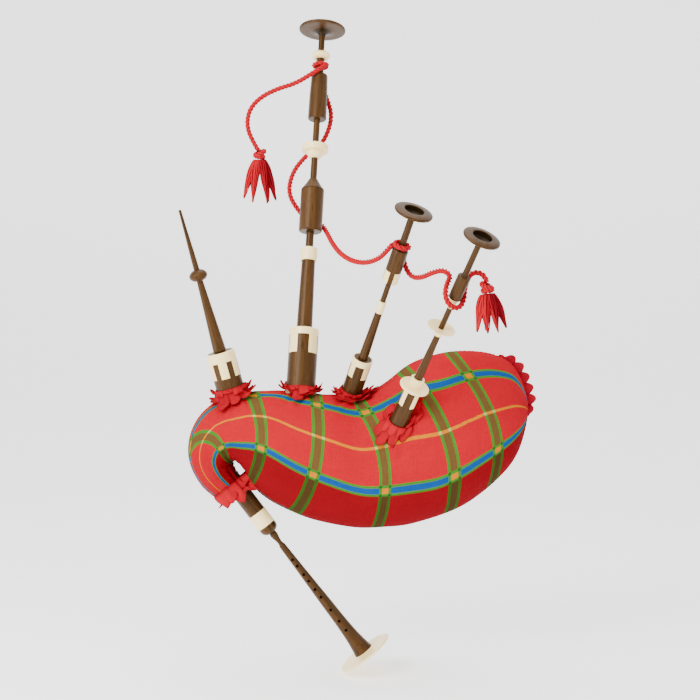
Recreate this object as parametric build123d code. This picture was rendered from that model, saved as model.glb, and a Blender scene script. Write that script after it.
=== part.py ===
"""Great Highland bagpipes: bag with tartan cover, three drones, blowpipe and chanter.

Millimetres, +Z up, +X towards the back end of the bag, -Y towards the side that faces the listener.
The origin is the middle of the bag, where the player's arm presses on it.
Each pipe is built about its own Z axis, with height 0 where it leaves the bag, and then laid on its
line: tilt turns it to the right of vertical, and lean brings its top towards the listener.
"""

import math
import os

from build123d import *

# ---- where each pipe leaves the bag: point, tilt and lean in degrees ----
BASS_LINE = ((-101, 8, 111), 3.1, -17)
MIDDLE_LINE = ((-14, -12, 106.5), 18.2, 24)
OUTER_LINE = ((61, -88, 58), 22.0, 26)
BLOWPIPE_LINE = ((-220, -5, 108), -15.0, 5)
CHANTER_LINE = ((-206, 0, -65.5), 142.8, 0)

# ---- bag: (x, z, half height, half depth, heading) from the back end to the neck; heading 0 runs
# towards the front and 90 runs straight down ----
BAG_SECTIONS = [
    (286, 70, 8, 6, 0),
    (283, 70, 26, 20, 0),
    (272, 69, 60, 46, 0),
    (255, 66, 87, 66, 0),
    (229, 58, 108, 82, 0),
    (187, 45, 128, 97, 0),
    (136, 30, 138, 105, 0),
    (85, 14, 137, 104, 0),
    (42, -5, 123, 95, 0),
    (0, -17, 112, 88, 0),
    (-51, -12, 110, 86, 0),
    (-102, -3, 104, 82, 0),
    (-153, 12, 94, 75, 0),
    (-195, 22, 78, 65, 10),
    (-228, 24, 62, 55, 32),
    (-249, 8, 46, 43, 62),
    (-254, -15, 38, 37, 90),
    (-245, -39, 32, 31, 118),
    (-228, -58, 28, 27.5, 136),
    (-211, -72, 24, 24, 143),
]
COVER_THICK = 1.6
COVER_GAP = 0.4
LEATHER_THICK = 2.6

# ---- fits ----
PIN_CLEARANCE = 0.08
SEAT_GAP = 0.5
TOUCH_GAP = 0.3

# ---- bass drone, radii and heights along the pipe ----
BASS_STOCK_R = 25.0
BASS_STOCK_FOOT = -55.0
BASS_STOCK_TOP = 101.0
BASS_TENON_R = 10.2
BASS_LOWER_TOP = 224.0
BASS_PIN_R = 6.8
BASS_MIDDLE_FOOT = 277.0
BASS_SHOULDER = 354.5
BASS_CUP_FOOT = 413.0
BASS_CUP_TOP = 437.0
BASS_CUP_BAND = 11.5
BASS_CUP_R = 23.4
BASS_UPPER_PIN_R = 5.7
BASS_UPPER_FOOT = 486.0
BASS_UPPER_TOP = 571.0
BASS_BELL_Z = 658.5
BASS_BELL_R = 42.0
BASS_BELL_FOOT = 646.0
BASS_BORE_R = 3.2
BASS_UPPER_BORE_R = 2.8
BASS_SOCKET_END = 360.0
BASS_UPPER_SOCKET_END = 559.0
BASS_TENON_HEMP = (62, 90)
BASS_LOWER_PIN_HEMP = (288, 318)
BASS_UPPER_PIN_HEMP = (497, 520)
BASS_CORD_Z = 589.0

# ---- middle tenor ----
MIDDLE_STOCK_R = 17.2
MIDDLE_STOCK_TOP = 66.0
MIDDLE_LOWER_TOP = 156.0
MIDDLE_PIN_R = 4.6
MIDDLE_UPPER_FOOT = 216.0
MIDDLE_UPPER_R = 13.2
MIDDLE_INLAY = 20.5
MIDDLE_UPPER_TOP = 276.0
MIDDLE_BELL_Z = 344.0
MIDDLE_BELL_R = 32.0
MIDDLE_BELL_FOOT = 331.0
MIDDLE_BORE_R = 2.4
MIDDLE_PIN_END = 246.0
MIDDLE_SOCKET_END = 272.0
MIDDLE_TENON_HEMP = (30, 52)
MIDDLE_PIN_HEMP = (218, 238)
MIDDLE_CORD_Z = 283.0

# ---- outer tenor ----
OUTER_STOCK_R = 14.9
OUTER_STOCK_TOP = 80.0
OUTER_LOWER_TOP = 181.0
OUTER_SAUCER_Z = 196.0
OUTER_PIN_R = 4.6
OUTER_UPPER_FOOT = 237.0
OUTER_UPPER_TOP = 296.5
OUTER_BELL_Z = 366.5
OUTER_BELL_R = 30.5
OUTER_BELL_FOOT = 353.0
OUTER_BORE_R = 2.3
OUTER_SOCKET_END = 294.0
OUTER_TENON_HEMP = (48, 72)
OUTER_PIN_HEMP = (244, 262)

# ---- blowpipe ----
BLOW_STOCK_R = 23.8
BLOW_STOCK_TOP = 67.0
BLOW_BODY_TOP = 192.0
BLOW_TIP = 315.0
BLOW_TENON_HEMP = (32, 56)
BLOW_MOUTHPIECE_Z = 211.1

# ---- chanter ----
CHANTER_STOCK_R = 15.8
CHANTER_STOCK_TOP = 91.0
CHANTER_SOLE_Z = 351.0
CHANTER_SOLE_R = 50.5
CHANTER_TENON_HEMP = (58, 80)
FINGER_HOLE_HEIGHTS = [150, 163.5, 182, 196, 214, 230.5, 258.5, 282.5, 302]
THUMB_HOLE_HEIGHT = 143.0
HOLE_R = 2.5

# ---- drone cord ----
CORD_R = 4.0
TASSEL_LENGTHS = (84, 68)
BASS_TO_MIDDLE = [
    (-71, 196, 671), (-70, 199, 650), (-63, 190, 628), (-56, 180, 609), (-50, 173, 587),
    (-53, 168, 564), (-65, 170, 537), (-82, 173, 521), (-96, 168, 512), (-117, 154, 486),
    (-126, 144, 457), (-123, 138, 437), (-113, 133, 420), (-100, 130, 404), (-85, 127, 395),
    (-67, 117, 389), (-57, 92, 374), (-49, 64, 358), (-39, 34, 344), (-28, 4, 334),
    (-13, -32, 326), (8, -65, 323), (29, -96, 330), (42, -116, 343), (51, -126, 354),
]
MIDDLE_TO_OUTER = [
    (69, -114, 359), (67, -103, 347), (70, -97, 329), (75, -99, 312), (85, -110, 300),
    (99, -132, 301), (113, -155, 309), (130, -174, 314), (142, -187, 305), (134, -201, 291),
    (131, -211, 276), (135, -213, 263), (145, -209, 254), (156, -202, 256), (162, -194, 268),
    (163, -190, 283), (166, -195, 297), (171, -203, 308), (181, -210, 311), (192, -213, 306),
    (196, -214, 295),
]
LEFT_TAIL = [
    (-59, 181, 676), (-62, 166, 671), (-74, 158, 664), (-90, 158, 654), (-115, 163, 640),
    (-148, 168, 631), (-178, 170, 616), (-197, 168, 595), (-202, 167, 568), (-195, 166, 544),
    (-181, 166, 521),
]
ROUTE_SPLIT_BEHIND_BASS = 13
ROUTE_SPLIT_MIDSPAN = 19
ROUTE_SPLIT_TENORS = 5
LEFT_KNOT = (-179, 166, 512)
RIGHT_KNOT = (196, -214, 284)


# ---------------------------------------------------------------- building blocks

def pipe_plane(line):
    """Plane whose Z axis runs up the pipe and whose -Y faces the listener."""
    base, tilt, lean = line
    t = math.radians(tilt)
    l = math.radians(lean)
    up = (math.sin(t) * math.cos(l), -math.sin(l), math.cos(t) * math.cos(l))
    return Plane(origin=base, x_dir=(math.cos(t), 0, -math.sin(t)), z_dir=up)


def turned(start, *legs):
    """Solid turned about Z from its half outline of (radius, height) points.

    Each leg is a list of the next points: one point makes a straight line, more make a curve.
    """
    edges = []
    here = start
    for leg in legs:
        points = [here, *leg]
        if len(leg) == 1:
            edges.append(Line(*points))
        else:
            edges.append(Spline(*points))
        here = leg[-1]
    edges.append(Line(here, start))
    return revolve(Plane.XZ * make_face(edges), Axis.Z)


def groove(radius, depth, span):
    """Legs of a half outline round the shallow groove that holds a thread lapping."""
    low, high = span
    return [(radius, low)], [(radius - depth, low)], [(radius - depth, high)], [(radius, high)]


def rod(radius, low, high):
    """Cylinder about Z between two heights."""
    upright = (Align.CENTER, Align.CENTER, Align.MIN)
    return Pos(0, 0, low) * Cylinder(radius, high - low, align=upright)


def tube(outer, inner, low, high):
    """Straight tube about Z between two heights."""
    return rod(outer, low, high) - rod(inner, low - 1, high + 1)


def sector(reach, middle_angle, width, low, high):
    """Wedge about Z, used to cut a tube into legs."""
    corners = [(0, 0)]
    for part in (-0.5, 0, 0.5):
        a = math.radians(middle_angle + part * width)
        corners.append((2 * reach * math.cos(a), 2 * reach * math.sin(a)))
    outline = make_face(Polyline(*corners, close=True))
    return Pos(0, 0, low) * extrude(outline, high - low)


def castle_ferrule(outer, inner, top, band, legs_to, leg_angles, leg_width):
    """Ivory sleeve with square legs that run down the wood."""
    ring = turned(
        (inner, top - band), [(outer, top - band)], [(outer, top - 1.8)],
        [(outer - 0.5, top - 0.5), (outer - 1.8, top)], [(inner, top)],
    )
    legs = tube(outer, inner, legs_to, top - band)
    wanted = [sector(outer, a, leg_width, legs_to, top - band) for a in leg_angles]
    kept = [legs & w for w in wanted]
    for leg in kept:
        ring += leg
    return ring


def stock(outer, bore, foot, top, ferrule, crown):
    """Wooden stock with a bell-mouthed foot, relieved for its ferrule."""
    body = turned(
        (bore, foot), [(outer - 2, foot)], [(outer - 0.5, foot + 0.8), (outer, foot + 3)],
        [(outer, top - 3)], [(outer - crown, top - 0.6)], [(bore, top - 0.6)],
    )
    return body - ferrule


def frill(inner, outer, low, high):
    """Gathered trim where a stock leaves the cover."""
    return turned(
        (inner, low), [(outer - 6, low)],
        [(outer, (low + high) / 2 - 2), (outer - 8, high - 2), (inner, high)],
    )


def bell(radius, stem, centre, flare_foot, mouth, bore):
    """Flat bell with a flared underside, a low crown and a round mouth."""
    rim = 2.6
    return turned(
        (bore, flare_foot), [(stem, flare_foot)],
        [(stem + 1.2, flare_foot + 3), (stem + 6, centre - rim - 3.5), (radius * 0.62, centre - rim - 0.6),
         (radius - 2, centre - rim)],
        [(radius - 0.4, centre - 1.4), (radius - 0.4, centre + 1.4), (radius - 2, centre + rim)],
        [(radius * 0.75, centre + rim + 1.2), (mouth + 1.2, centre + rim + 1.6)],
        [(mouth, centre + rim + 1.0)],
        [(mouth, centre - 3.2)],
        [(bore, flare_foot + 4)],
    )


def reed(radius, low, seat, top, tongue_angle=-90):
    """Cane drone reed: a blocked cane tube with a slit tongue and a thread bridle."""
    cane = turned(
        (radius * 0.45, low + 4), [(0, low + 4)], [(0, low)], [(radius - 0.6, low)],
        [(radius, low + 1)], [(radius, seat - 6)], [(radius * 0.74, seat)], [(radius * 0.7, top)],
        [(radius * 0.45, top)],
    )
    slit = Box(radius * 2, 0.5, (seat - low) * 0.55)
    slit = Pos(radius, 0, low + (seat - low) * 0.42) * slit
    bridle = tube(radius + 0.8, radius, seat - 14, seat - 9)
    return Rot(0, 0, tongue_angle) * (cane - slit + bridle)


def bag_solid(grow):
    """Bag body, from the back end to the neck, with its skin moved out by grow."""
    faces = []
    for x, z, half_height, half_depth, heading in BAG_SECTIONS:
        a = math.radians(heading)
        along = (-math.cos(a), 0, -math.sin(a))
        up = (-math.sin(a), 0, math.cos(a))
        plane = Plane(origin=(x, 0, z), x_dir=up, z_dir=along)
        faces.append(plane * Ellipse(half_height + grow, half_depth + grow))
    return loft(faces)


def corner_radii(points):
    """Largest arc at each corner of a cord's route: 0.45 of the shorter run over tan(half the turn)."""
    radii = []
    for a, b, c in zip(points, points[1:], points[2:]):
        first = Vector(b) - Vector(a)
        second = Vector(c) - Vector(b)
        turn = math.radians(first.get_angle(second))
        radii.append(0.45 * min(first.length, second.length) / math.tan(turn / 2))
    return radii


def cord(name, points, radius=CORD_R):
    """Round cord along straight runs joined by tangent arcs."""
    radii = corner_radii(points)
    path = FilletPolyline(*points, radius=radii)
    first_run = Vector(points[1]) - Vector(points[0])
    end = Plane(origin=points[0], z_dir=first_run) * Circle(radius)
    solid = sweep(end, path=path)
    length = path.length
    share = solid.volume / (math.pi * radius**2 * length)
    print(f"{name}: length {length:.0f}, radii {[round(r) for r in radii]}, volume share {share:.3f}")
    return solid


def midpoint(points, index):
    """Point half way along the run that starts at index."""
    return tuple((a + b) / 2 for a, b in zip(points[index], points[index + 1]))


def tassel(knot_r, knot_half, length, top_r, foot_r):
    """Tassel hanging down from its knot, whose middle is at the origin."""
    return turned(
        (0, -length), [(foot_r, -length + 3)],
        [(foot_r * 0.8, -length * 0.6), (top_r, -knot_half * 0.95)],
        [(knot_r, 0), (knot_r * 0.45, knot_half)],
        [(0, knot_half)],
    )


# ---------------------------------------------------------------- bag

parts = {}
cover_outer = bag_solid(0)
cover_inner = bag_solid(-COVER_THICK)
bag_outer = bag_solid(-COVER_THICK - COVER_GAP)
bag_inner = bag_solid(-COVER_THICK - COVER_GAP - LEATHER_THICK)
clear_of_bag = bag_solid(TOUCH_GAP)

STOCKS = {
    "bass": (BASS_LINE, BASS_STOCK_R),
    "middle_tenor": (MIDDLE_LINE, MIDDLE_STOCK_R),
    "outer_tenor": (OUTER_LINE, OUTER_STOCK_R),
    "blowpipe": (BLOWPIPE_LINE, BLOW_STOCK_R),
    "chanter": (CHANTER_LINE, CHANTER_STOCK_R),
}
cover = cover_outer - cover_inner
bag = bag_outer - bag_inner
for line, radius in STOCKS.values():
    hole = pipe_plane(line) * rod(radius + TOUCH_GAP, -70, 60)
    cover -= hole
    bag -= hole
parts["bag_cover"] = cover
parts["bag"] = bag

# Scalloped trim on the seam round the upper back end.
REAR_TRIM = [(214, 178), (246, 168), (272, 144), (288, 111), (293, 78)]
REAR_TRIM_INNER = [(278, 78), (272, 104), (258, 130), (237, 148), (210, 160)]
trim_outline = make_face([
    Spline(*REAR_TRIM),
    Line(REAR_TRIM[-1], REAR_TRIM_INNER[0]),
    Spline(*REAR_TRIM_INNER),
    Line(REAR_TRIM_INNER[-1], REAR_TRIM[0]),
])
trim = extrude(Plane.XZ * trim_outline, 4, both=True)
parts["cover_rear_frill"] = trim - clear_of_bag

# Frills and bindings round the five stocks: (binding low, high, frill radius, low, high).
BINDING_THICK = 2.6
TRIMS = {
    "bass": (-6, 5, 41, -16, 6),
    "middle_tenor": (-14, 0, 31, -22, 6),
    "outer_tenor": (-6, 3, 36, -14, 5),
    "blowpipe": (-12, 2, 42, -22, 8),
    "chanter": (-2, 8, 34, -8, 14),
}
bindings = []
for name, (low, high, reach, frill_low, frill_high) in TRIMS.items():
    line, radius = STOCKS[name]
    plane = pipe_plane(line)
    inner = radius + TOUCH_GAP
    bindings.append(plane * tube(inner + BINDING_THICK, inner, low, high) - clear_of_bag)
    gathered = plane * frill(inner + BINDING_THICK + TOUCH_GAP, reach, frill_low, frill_high)
    parts[f"{name}_frill"] = gathered - clear_of_bag
parts["stock_bindings"] = Compound(children=[s for b in bindings for s in b.solids()])

# ---------------------------------------------------------------- bass drone

on_bass = pipe_plane(BASS_LINE)
FRONT_LEGS = [45, 135, 225, 315]
ferrule = castle_ferrule(BASS_STOCK_R + 0.6, BASS_STOCK_R - 2, BASS_STOCK_TOP, 12.5, 56.5, FRONT_LEGS, 44)
parts["bass_stock_ferrule"] = on_bass * ferrule
parts["bass_stock"] = on_bass * stock(
    BASS_STOCK_R, BASS_TENON_R + 0.3, BASS_STOCK_FOOT, BASS_STOCK_TOP, ferrule, 3)
lower_pin_end = BASS_MIDDLE_FOOT + 52
parts["bass_bottom_joint"] = on_bass * (
    turned(
        (BASS_BORE_R, 44), [(BASS_TENON_R - 0.6, 44)], [(BASS_TENON_R, 45)],
        *groove(BASS_TENON_R, 1.2, BASS_TENON_HEMP),
        [(BASS_TENON_R, BASS_STOCK_TOP + SEAT_GAP)], [(13.2, BASS_STOCK_TOP + SEAT_GAP)],
        [(13.5, BASS_STOCK_TOP + 2)], [(12.6, 170), (11.6, BASS_LOWER_TOP)],
        [(BASS_PIN_R, BASS_LOWER_TOP)], *groove(BASS_PIN_R, 0.9, BASS_LOWER_PIN_HEMP),
        [(BASS_PIN_R, lower_pin_end - 1)], [(BASS_PIN_R - 1, lower_pin_end)],
        [(BASS_BORE_R, lower_pin_end)],
    )
)
parts["bass_bottom_ring"] = on_bass * turned(
    (BASS_PIN_R + 0.02, BASS_LOWER_TOP), [(14.2, BASS_LOWER_TOP)], [(14.8, BASS_LOWER_TOP + 0.8)],
    [(14.8, BASS_LOWER_TOP + 21.5)], [(14.2, BASS_LOWER_TOP + 22.8)],
    [(BASS_PIN_R + 0.02, BASS_LOWER_TOP + 22.8)],
)
parts["bass_bottom_hemp"] = on_bass * Compound(children=[
    tube(BASS_TENON_R + 0.2, BASS_TENON_R - 1.2, *BASS_TENON_HEMP),
    tube(BASS_PIN_R + 0.04, BASS_PIN_R - 0.9, *BASS_LOWER_PIN_HEMP),
])
parts["bass_reed"] = on_bass * reed(4.2, -26, 43.5, 60)

socket_r = BASS_PIN_R + PIN_CLEARANCE
upper_pin_end = BASS_UPPER_FOOT + 44
parts["bass_middle_joint"] = on_bass * (
    turned(
        (socket_r, BASS_MIDDLE_FOOT), [(17.6, BASS_MIDDLE_FOOT)],
        [(19.6, BASS_MIDDLE_FOOT + 0.9), (20.4, BASS_MIDDLE_FOOT + 3.2)],
        [(20.4, BASS_SHOULDER - 1.2)], [(19.3, BASS_SHOULDER - 0.6)], [(20.3, BASS_SHOULDER)],
        [(14.4, BASS_SHOULDER + 8), (7.4, BASS_SHOULDER + 19.5)], [(6.0, BASS_SHOULDER + 21)],
        [(5.8, BASS_CUP_FOOT)], [(BASS_UPPER_PIN_R, BASS_CUP_TOP)],
        *groove(BASS_UPPER_PIN_R, 0.8, BASS_UPPER_PIN_HEMP),
        [(BASS_UPPER_PIN_R, upper_pin_end - 1)], [(BASS_UPPER_PIN_R - 1, upper_pin_end)],
        [(BASS_UPPER_BORE_R, upper_pin_end)], [(BASS_UPPER_BORE_R, BASS_SOCKET_END)],
        [(socket_r, BASS_SOCKET_END)],
    )
)
cup_band_foot = BASS_CUP_TOP - BASS_CUP_BAND
parts["bass_middle_mount"] = on_bass * turned(
    (5.95, BASS_CUP_FOOT), [(8, BASS_CUP_FOOT)],
    [(12.0, BASS_CUP_FOOT + 3.5), (14.6, cup_band_foot)],
    [(BASS_CUP_R - 1, cup_band_foot)], [(BASS_CUP_R - 0.2, cup_band_foot + 0.8)],
    [(BASS_CUP_R, BASS_CUP_TOP - 1.2)], [(BASS_CUP_R - 0.8, BASS_CUP_TOP)],
    [(BASS_CUP_R - 3.5, BASS_CUP_TOP)], [(BASS_CUP_R - 4.5, BASS_CUP_TOP - 3)],
    [(5.95, BASS_CUP_TOP - 3)],
)
parts["bass_middle_hemp"] = on_bass * tube(
    BASS_UPPER_PIN_R + 0.04, BASS_UPPER_PIN_R - 0.8, *BASS_UPPER_PIN_HEMP)

parts["bass_top_joint"] = on_bass * (
    turned(
        (BASS_UPPER_PIN_R + PIN_CLEARANCE, BASS_UPPER_FOOT), [(15.4, BASS_UPPER_FOOT)],
        [(16.3, BASS_UPPER_FOOT + 1)], [(16.0, 525), (14.4, BASS_UPPER_TOP - 1.5)],
        [(13.4, BASS_UPPER_TOP)], [(7.6, BASS_UPPER_TOP)],
        [(6.8, BASS_UPPER_TOP + 2)], [(6.6, 606)], [(5.6, 616)], [(5.6, BASS_BELL_FOOT)],
        [(BASS_UPPER_BORE_R, BASS_BELL_FOOT)], [(BASS_UPPER_BORE_R, BASS_UPPER_SOCKET_END)],
        [(BASS_UPPER_PIN_R + PIN_CLEARANCE, BASS_UPPER_SOCKET_END)],
    )
)
parts["bass_neck_ring"] = on_bass * turned(
    (6.7, 602), [(13, 602.5), (17.2, 608), (13, 613.5), (6.7, 614)],
)
parts["bass_bell"] = on_bass * bell(
    BASS_BELL_R, 6.2, BASS_BELL_Z, BASS_BELL_FOOT, 17, BASS_UPPER_BORE_R)

# ---------------------------------------------------------------- middle tenor drone

on_middle = pipe_plane(MIDDLE_LINE)
ferrule = castle_ferrule(MIDDLE_STOCK_R + 0.4, MIDDLE_STOCK_R - 1.8, MIDDLE_STOCK_TOP, 10.5, 32,
                         FRONT_LEGS, 38)
parts["middle_tenor_stock_ferrule"] = on_middle * ferrule
parts["middle_tenor_stock"] = on_middle * stock(MIDDLE_STOCK_R, 7.1, -48, MIDDLE_STOCK_TOP, ferrule, 3)
parts["middle_tenor_bottom_joint"] = on_middle * (
    turned(
        (MIDDLE_BORE_R, 20), [(6.3, 20)], [(6.8, 21)], *groove(6.8, 0.8, MIDDLE_TENON_HEMP),
        [(6.8, MIDDLE_STOCK_TOP + SEAT_GAP)], [(8.0, MIDDLE_STOCK_TOP + SEAT_GAP)],
        [(8.2, MIDDLE_STOCK_TOP + 2)], [(7.2, 112), (6.1, MIDDLE_LOWER_TOP)],
        [(MIDDLE_PIN_R, MIDDLE_LOWER_TOP)], *groove(MIDDLE_PIN_R, 0.7, MIDDLE_PIN_HEMP),
        [(MIDDLE_PIN_R, MIDDLE_PIN_END - 1)], [(MIDDLE_PIN_R - 0.8, MIDDLE_PIN_END)],
        [(MIDDLE_BORE_R, MIDDLE_PIN_END)],
    )
)
parts["middle_tenor_pin_ring"] = on_middle * turned(
    (MIDDLE_PIN_R + 0.02, MIDDLE_LOWER_TOP), [(6.3, MIDDLE_LOWER_TOP)], [(6.8, MIDDLE_LOWER_TOP + 0.8)],
    [(6.8, MIDDLE_LOWER_TOP + 21)], [(6.3, MIDDLE_LOWER_TOP + 21.8)],
    [(MIDDLE_PIN_R + 0.02, MIDDLE_LOWER_TOP + 21.8)],
)
parts["middle_tenor_hemp"] = on_middle * Compound(children=[
    tube(6.95, 6.0, *MIDDLE_TENON_HEMP),
    tube(MIDDLE_PIN_R + 0.04, MIDDLE_PIN_R - 0.7, *MIDDLE_PIN_HEMP),
])
parts["middle_tenor_reed"] = on_middle * reed(3.2, -34, 19.5, 32)

inlay_top = MIDDLE_UPPER_FOOT + MIDDLE_INLAY
plates = tube(MIDDLE_UPPER_R + 0.2, MIDDLE_UPPER_R - 1.6, MIDDLE_UPPER_FOOT, inlay_top)
inlays = []
for angle in FRONT_LEGS:
    wedge = sector(MIDDLE_UPPER_R + 1, angle, 54, MIDDLE_UPPER_FOOT, inlay_top)
    inlays += (plates & wedge).solids()
parts["middle_tenor_top_inlays"] = on_middle * Compound(children=inlays)
upper = turned(
    (MIDDLE_PIN_R + PIN_CLEARANCE, MIDDLE_UPPER_FOOT), [(MIDDLE_UPPER_R, MIDDLE_UPPER_FOOT)],
    [(MIDDLE_UPPER_R, MIDDLE_UPPER_TOP - 2)], [(MIDDLE_UPPER_R - 1, MIDDLE_UPPER_TOP)],
    [(7.0, MIDDLE_UPPER_TOP)], [(6.0, MIDDLE_UPPER_TOP + 2)], [(5.7, MIDDLE_BELL_FOOT)],
    [(MIDDLE_BORE_R, MIDDLE_BELL_FOOT)], [(MIDDLE_BORE_R, MIDDLE_SOCKET_END)],
    [(MIDDLE_PIN_R + PIN_CLEARANCE, MIDDLE_SOCKET_END)],
)
for inlay in inlays:
    upper -= inlay
parts["middle_tenor_top_joint"] = on_middle * upper
parts["middle_tenor_bell"] = on_middle * bell(
    MIDDLE_BELL_R, 6.2, MIDDLE_BELL_Z, MIDDLE_BELL_FOOT, 16.3, MIDDLE_BORE_R)

# ---------------------------------------------------------------- outer tenor drone

on_outer = pipe_plane(OUTER_LINE)
ferrule = castle_ferrule(OUTER_STOCK_R - 0.3, OUTER_STOCK_R - 2.4, OUTER_STOCK_TOP - 3.6, 5.5, 43,
                         FRONT_LEGS, 38)
parts["outer_tenor_stock"] = on_outer * (
    turned(
        (6.9, -48), [(13, -48)], [(14.9, -45)], [(14.9, 12)], [(14.3, 40)],
        [(14.3, OUTER_STOCK_TOP - 7)], [(12.4, OUTER_STOCK_TOP - 3.6)], [(9.0, OUTER_STOCK_TOP - 3.6)],
        [(9.0, OUTER_STOCK_TOP + 14)], [(6.9, OUTER_STOCK_TOP + 14)],
    ) - ferrule
)
parts["outer_tenor_stock_mount"] = on_outer * (ferrule + turned(
    (9.02, OUTER_STOCK_TOP - 3.6), [(21, OUTER_STOCK_TOP - 3.6)],
    [(24.6, OUTER_STOCK_TOP - 2.4), (24.6, OUTER_STOCK_TOP + 0.2), (21, OUTER_STOCK_TOP + 1)],
    [(10.6, OUTER_STOCK_TOP + 1)], [(10.5, OUTER_STOCK_TOP + 9), (11.4, OUTER_STOCK_TOP + 15.6)],
    [(10.6, OUTER_STOCK_TOP + 16.4)], [(7.6, OUTER_STOCK_TOP + 16.4)], [(7.6, OUTER_STOCK_TOP + 14.1)],
    [(9.02, OUTER_STOCK_TOP + 14.1)],
))
outer_pin_end = OUTER_UPPER_FOOT + 34
outer_seat = OUTER_STOCK_TOP + 16.4 + SEAT_GAP
parts["outer_tenor_bottom_joint"] = on_outer * (
    turned(
        (OUTER_BORE_R, 36), [(6.1, 36)], [(6.6, 37)], *groove(6.6, 0.8, OUTER_TENON_HEMP),
        [(6.6, outer_seat)], [(7.0, outer_seat)], [(6.0, 140), (5.0, OUTER_LOWER_TOP)],
        [(OUTER_PIN_R, OUTER_LOWER_TOP + 0.5)], *groove(OUTER_PIN_R, 0.7, OUTER_PIN_HEMP),
        [(OUTER_PIN_R, outer_pin_end - 1)], [(OUTER_PIN_R - 0.8, outer_pin_end)],
        [(OUTER_BORE_R, outer_pin_end)],
    )
)
parts["outer_tenor_saucer"] = on_outer * turned(
    (OUTER_PIN_R + 0.02, OUTER_LOWER_TOP + 1), [(5.6, OUTER_LOWER_TOP + 1)],
    [(7.8, OUTER_LOWER_TOP + 5), (8.8, OUTER_SAUCER_Z - 3)],
    [(17, OUTER_SAUCER_Z - 2), (23.0, OUTER_SAUCER_Z + 0.6)],
    [(23.6, OUTER_SAUCER_Z + 1.4), (22.8, OUTER_SAUCER_Z + 2.2)],
    [(14, OUTER_SAUCER_Z + 0.6), (OUTER_PIN_R + 0.02, OUTER_SAUCER_Z + 0.2)],
)
parts["outer_tenor_hemp"] = on_outer * Compound(children=[
    tube(6.75, 5.8, *OUTER_TENON_HEMP),
    tube(OUTER_PIN_R + 0.04, OUTER_PIN_R - 0.7, *OUTER_PIN_HEMP),
])
parts["outer_tenor_reed"] = on_outer * reed(3.1, -18, 35.5, 47)
parts["outer_tenor_top_ring"] = on_outer * turned(
    (5.3, OUTER_UPPER_FOOT), [(6.2, OUTER_UPPER_FOOT)], [(6.6, OUTER_UPPER_FOOT + 0.6)],
    [(6.6, OUTER_UPPER_FOOT + 3)], [(6.3, OUTER_UPPER_FOOT + 4)], [(6.3, OUTER_UPPER_FOOT + 13)],
    [(7.0, OUTER_UPPER_FOOT + 14)], [(7.0, OUTER_UPPER_FOOT + 17)], [(5.3, OUTER_UPPER_FOOT + 17)],
)
parts["outer_tenor_top_joint"] = on_outer * (
    turned(
        (OUTER_PIN_R + PIN_CLEARANCE, OUTER_UPPER_FOOT), [(5.28, OUTER_UPPER_FOOT)],
        [(5.28, OUTER_UPPER_FOOT + 17.1)], [(9.8, OUTER_UPPER_FOOT + 17.1)],
        [(10.5, OUTER_UPPER_FOOT + 18)], [(10.5, OUTER_UPPER_TOP - 1.5)], [(9.6, OUTER_UPPER_TOP)],
        [(5.8, OUTER_UPPER_TOP)], [(5.1, OUTER_UPPER_TOP + 2)], [(4.8, OUTER_BELL_FOOT)],
        [(OUTER_BORE_R, OUTER_BELL_FOOT)], [(OUTER_BORE_R, OUTER_SOCKET_END)],
        [(OUTER_PIN_R + PIN_CLEARANCE, OUTER_SOCKET_END)],
    )
)
parts["outer_tenor_bell"] = on_outer * bell(
    OUTER_BELL_R, 5.4, OUTER_BELL_Z, OUTER_BELL_FOOT, 16.0, OUTER_BORE_R)

# ---------------------------------------------------------------- blowpipe

on_blowpipe = pipe_plane(BLOWPIPE_LINE)
ferrule = castle_ferrule(BLOW_STOCK_R + 0.5, BLOW_STOCK_R - 2, BLOW_STOCK_TOP, 17, 22.5,
                         range(-90, 270, 60), 34)
parts["blowpipe_stock_ferrule"] = on_blowpipe * ferrule
parts["blowpipe_stock"] = on_blowpipe * stock(BLOW_STOCK_R, 9.4, -50, BLOW_STOCK_TOP, ferrule, 3)
parts["blowpipe_tube"] = on_blowpipe * (
    turned(
        (4.2, 12), [(7.4, 12)], [(8.0, 13)], [(8.0, 20)], [(8.7, 20)], [(9.1, 21)],
        *groove(9.1, 1.0, BLOW_TENON_HEMP),
        [(9.1, BLOW_STOCK_TOP + SEAT_GAP)], [(10.8, BLOW_STOCK_TOP + SEAT_GAP)],
        [(11.2, BLOW_STOCK_TOP + 2)], [(8.4, 125), (5.4, BLOW_BODY_TOP)], [(3.0, BLOW_BODY_TOP)],
        [(3.0, 170)], [(4.2, 60)],
    )
)
parts["blowpipe_hemp"] = on_blowpipe * tube(9.25, 8.1, *BLOW_TENON_HEMP)
flap = rod(6.6, 10.1, 11.7) + Pos(0, 6.6, 10.9) * Box(6, 4, 1.6)
parts["valve_flap"] = on_blowpipe * flap
parts["blowpipe_bead"] = on_blowpipe * turned(
    (2.2, BLOW_BODY_TOP), [(5.6, BLOW_BODY_TOP)],
    [(12.6, BLOW_BODY_TOP + 3), (15.6, BLOW_BODY_TOP + 9), (12.2, BLOW_BODY_TOP + 15.5),
     (5.2, BLOW_BODY_TOP + 19)],
    [(2.2, BLOW_BODY_TOP + 19)],
)
parts["mouthpiece"] = on_blowpipe * turned(
    (1.9, BLOW_MOUTHPIECE_Z), [(4.9, BLOW_MOUTHPIECE_Z)],
    [(4.2, 245), (3.0, 285), (2.5, BLOW_TIP - 2)],
    [(2.2, BLOW_TIP)], [(1.1, BLOW_TIP)], [(1.1, 290)],
)

# ---------------------------------------------------------------- chanter

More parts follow.
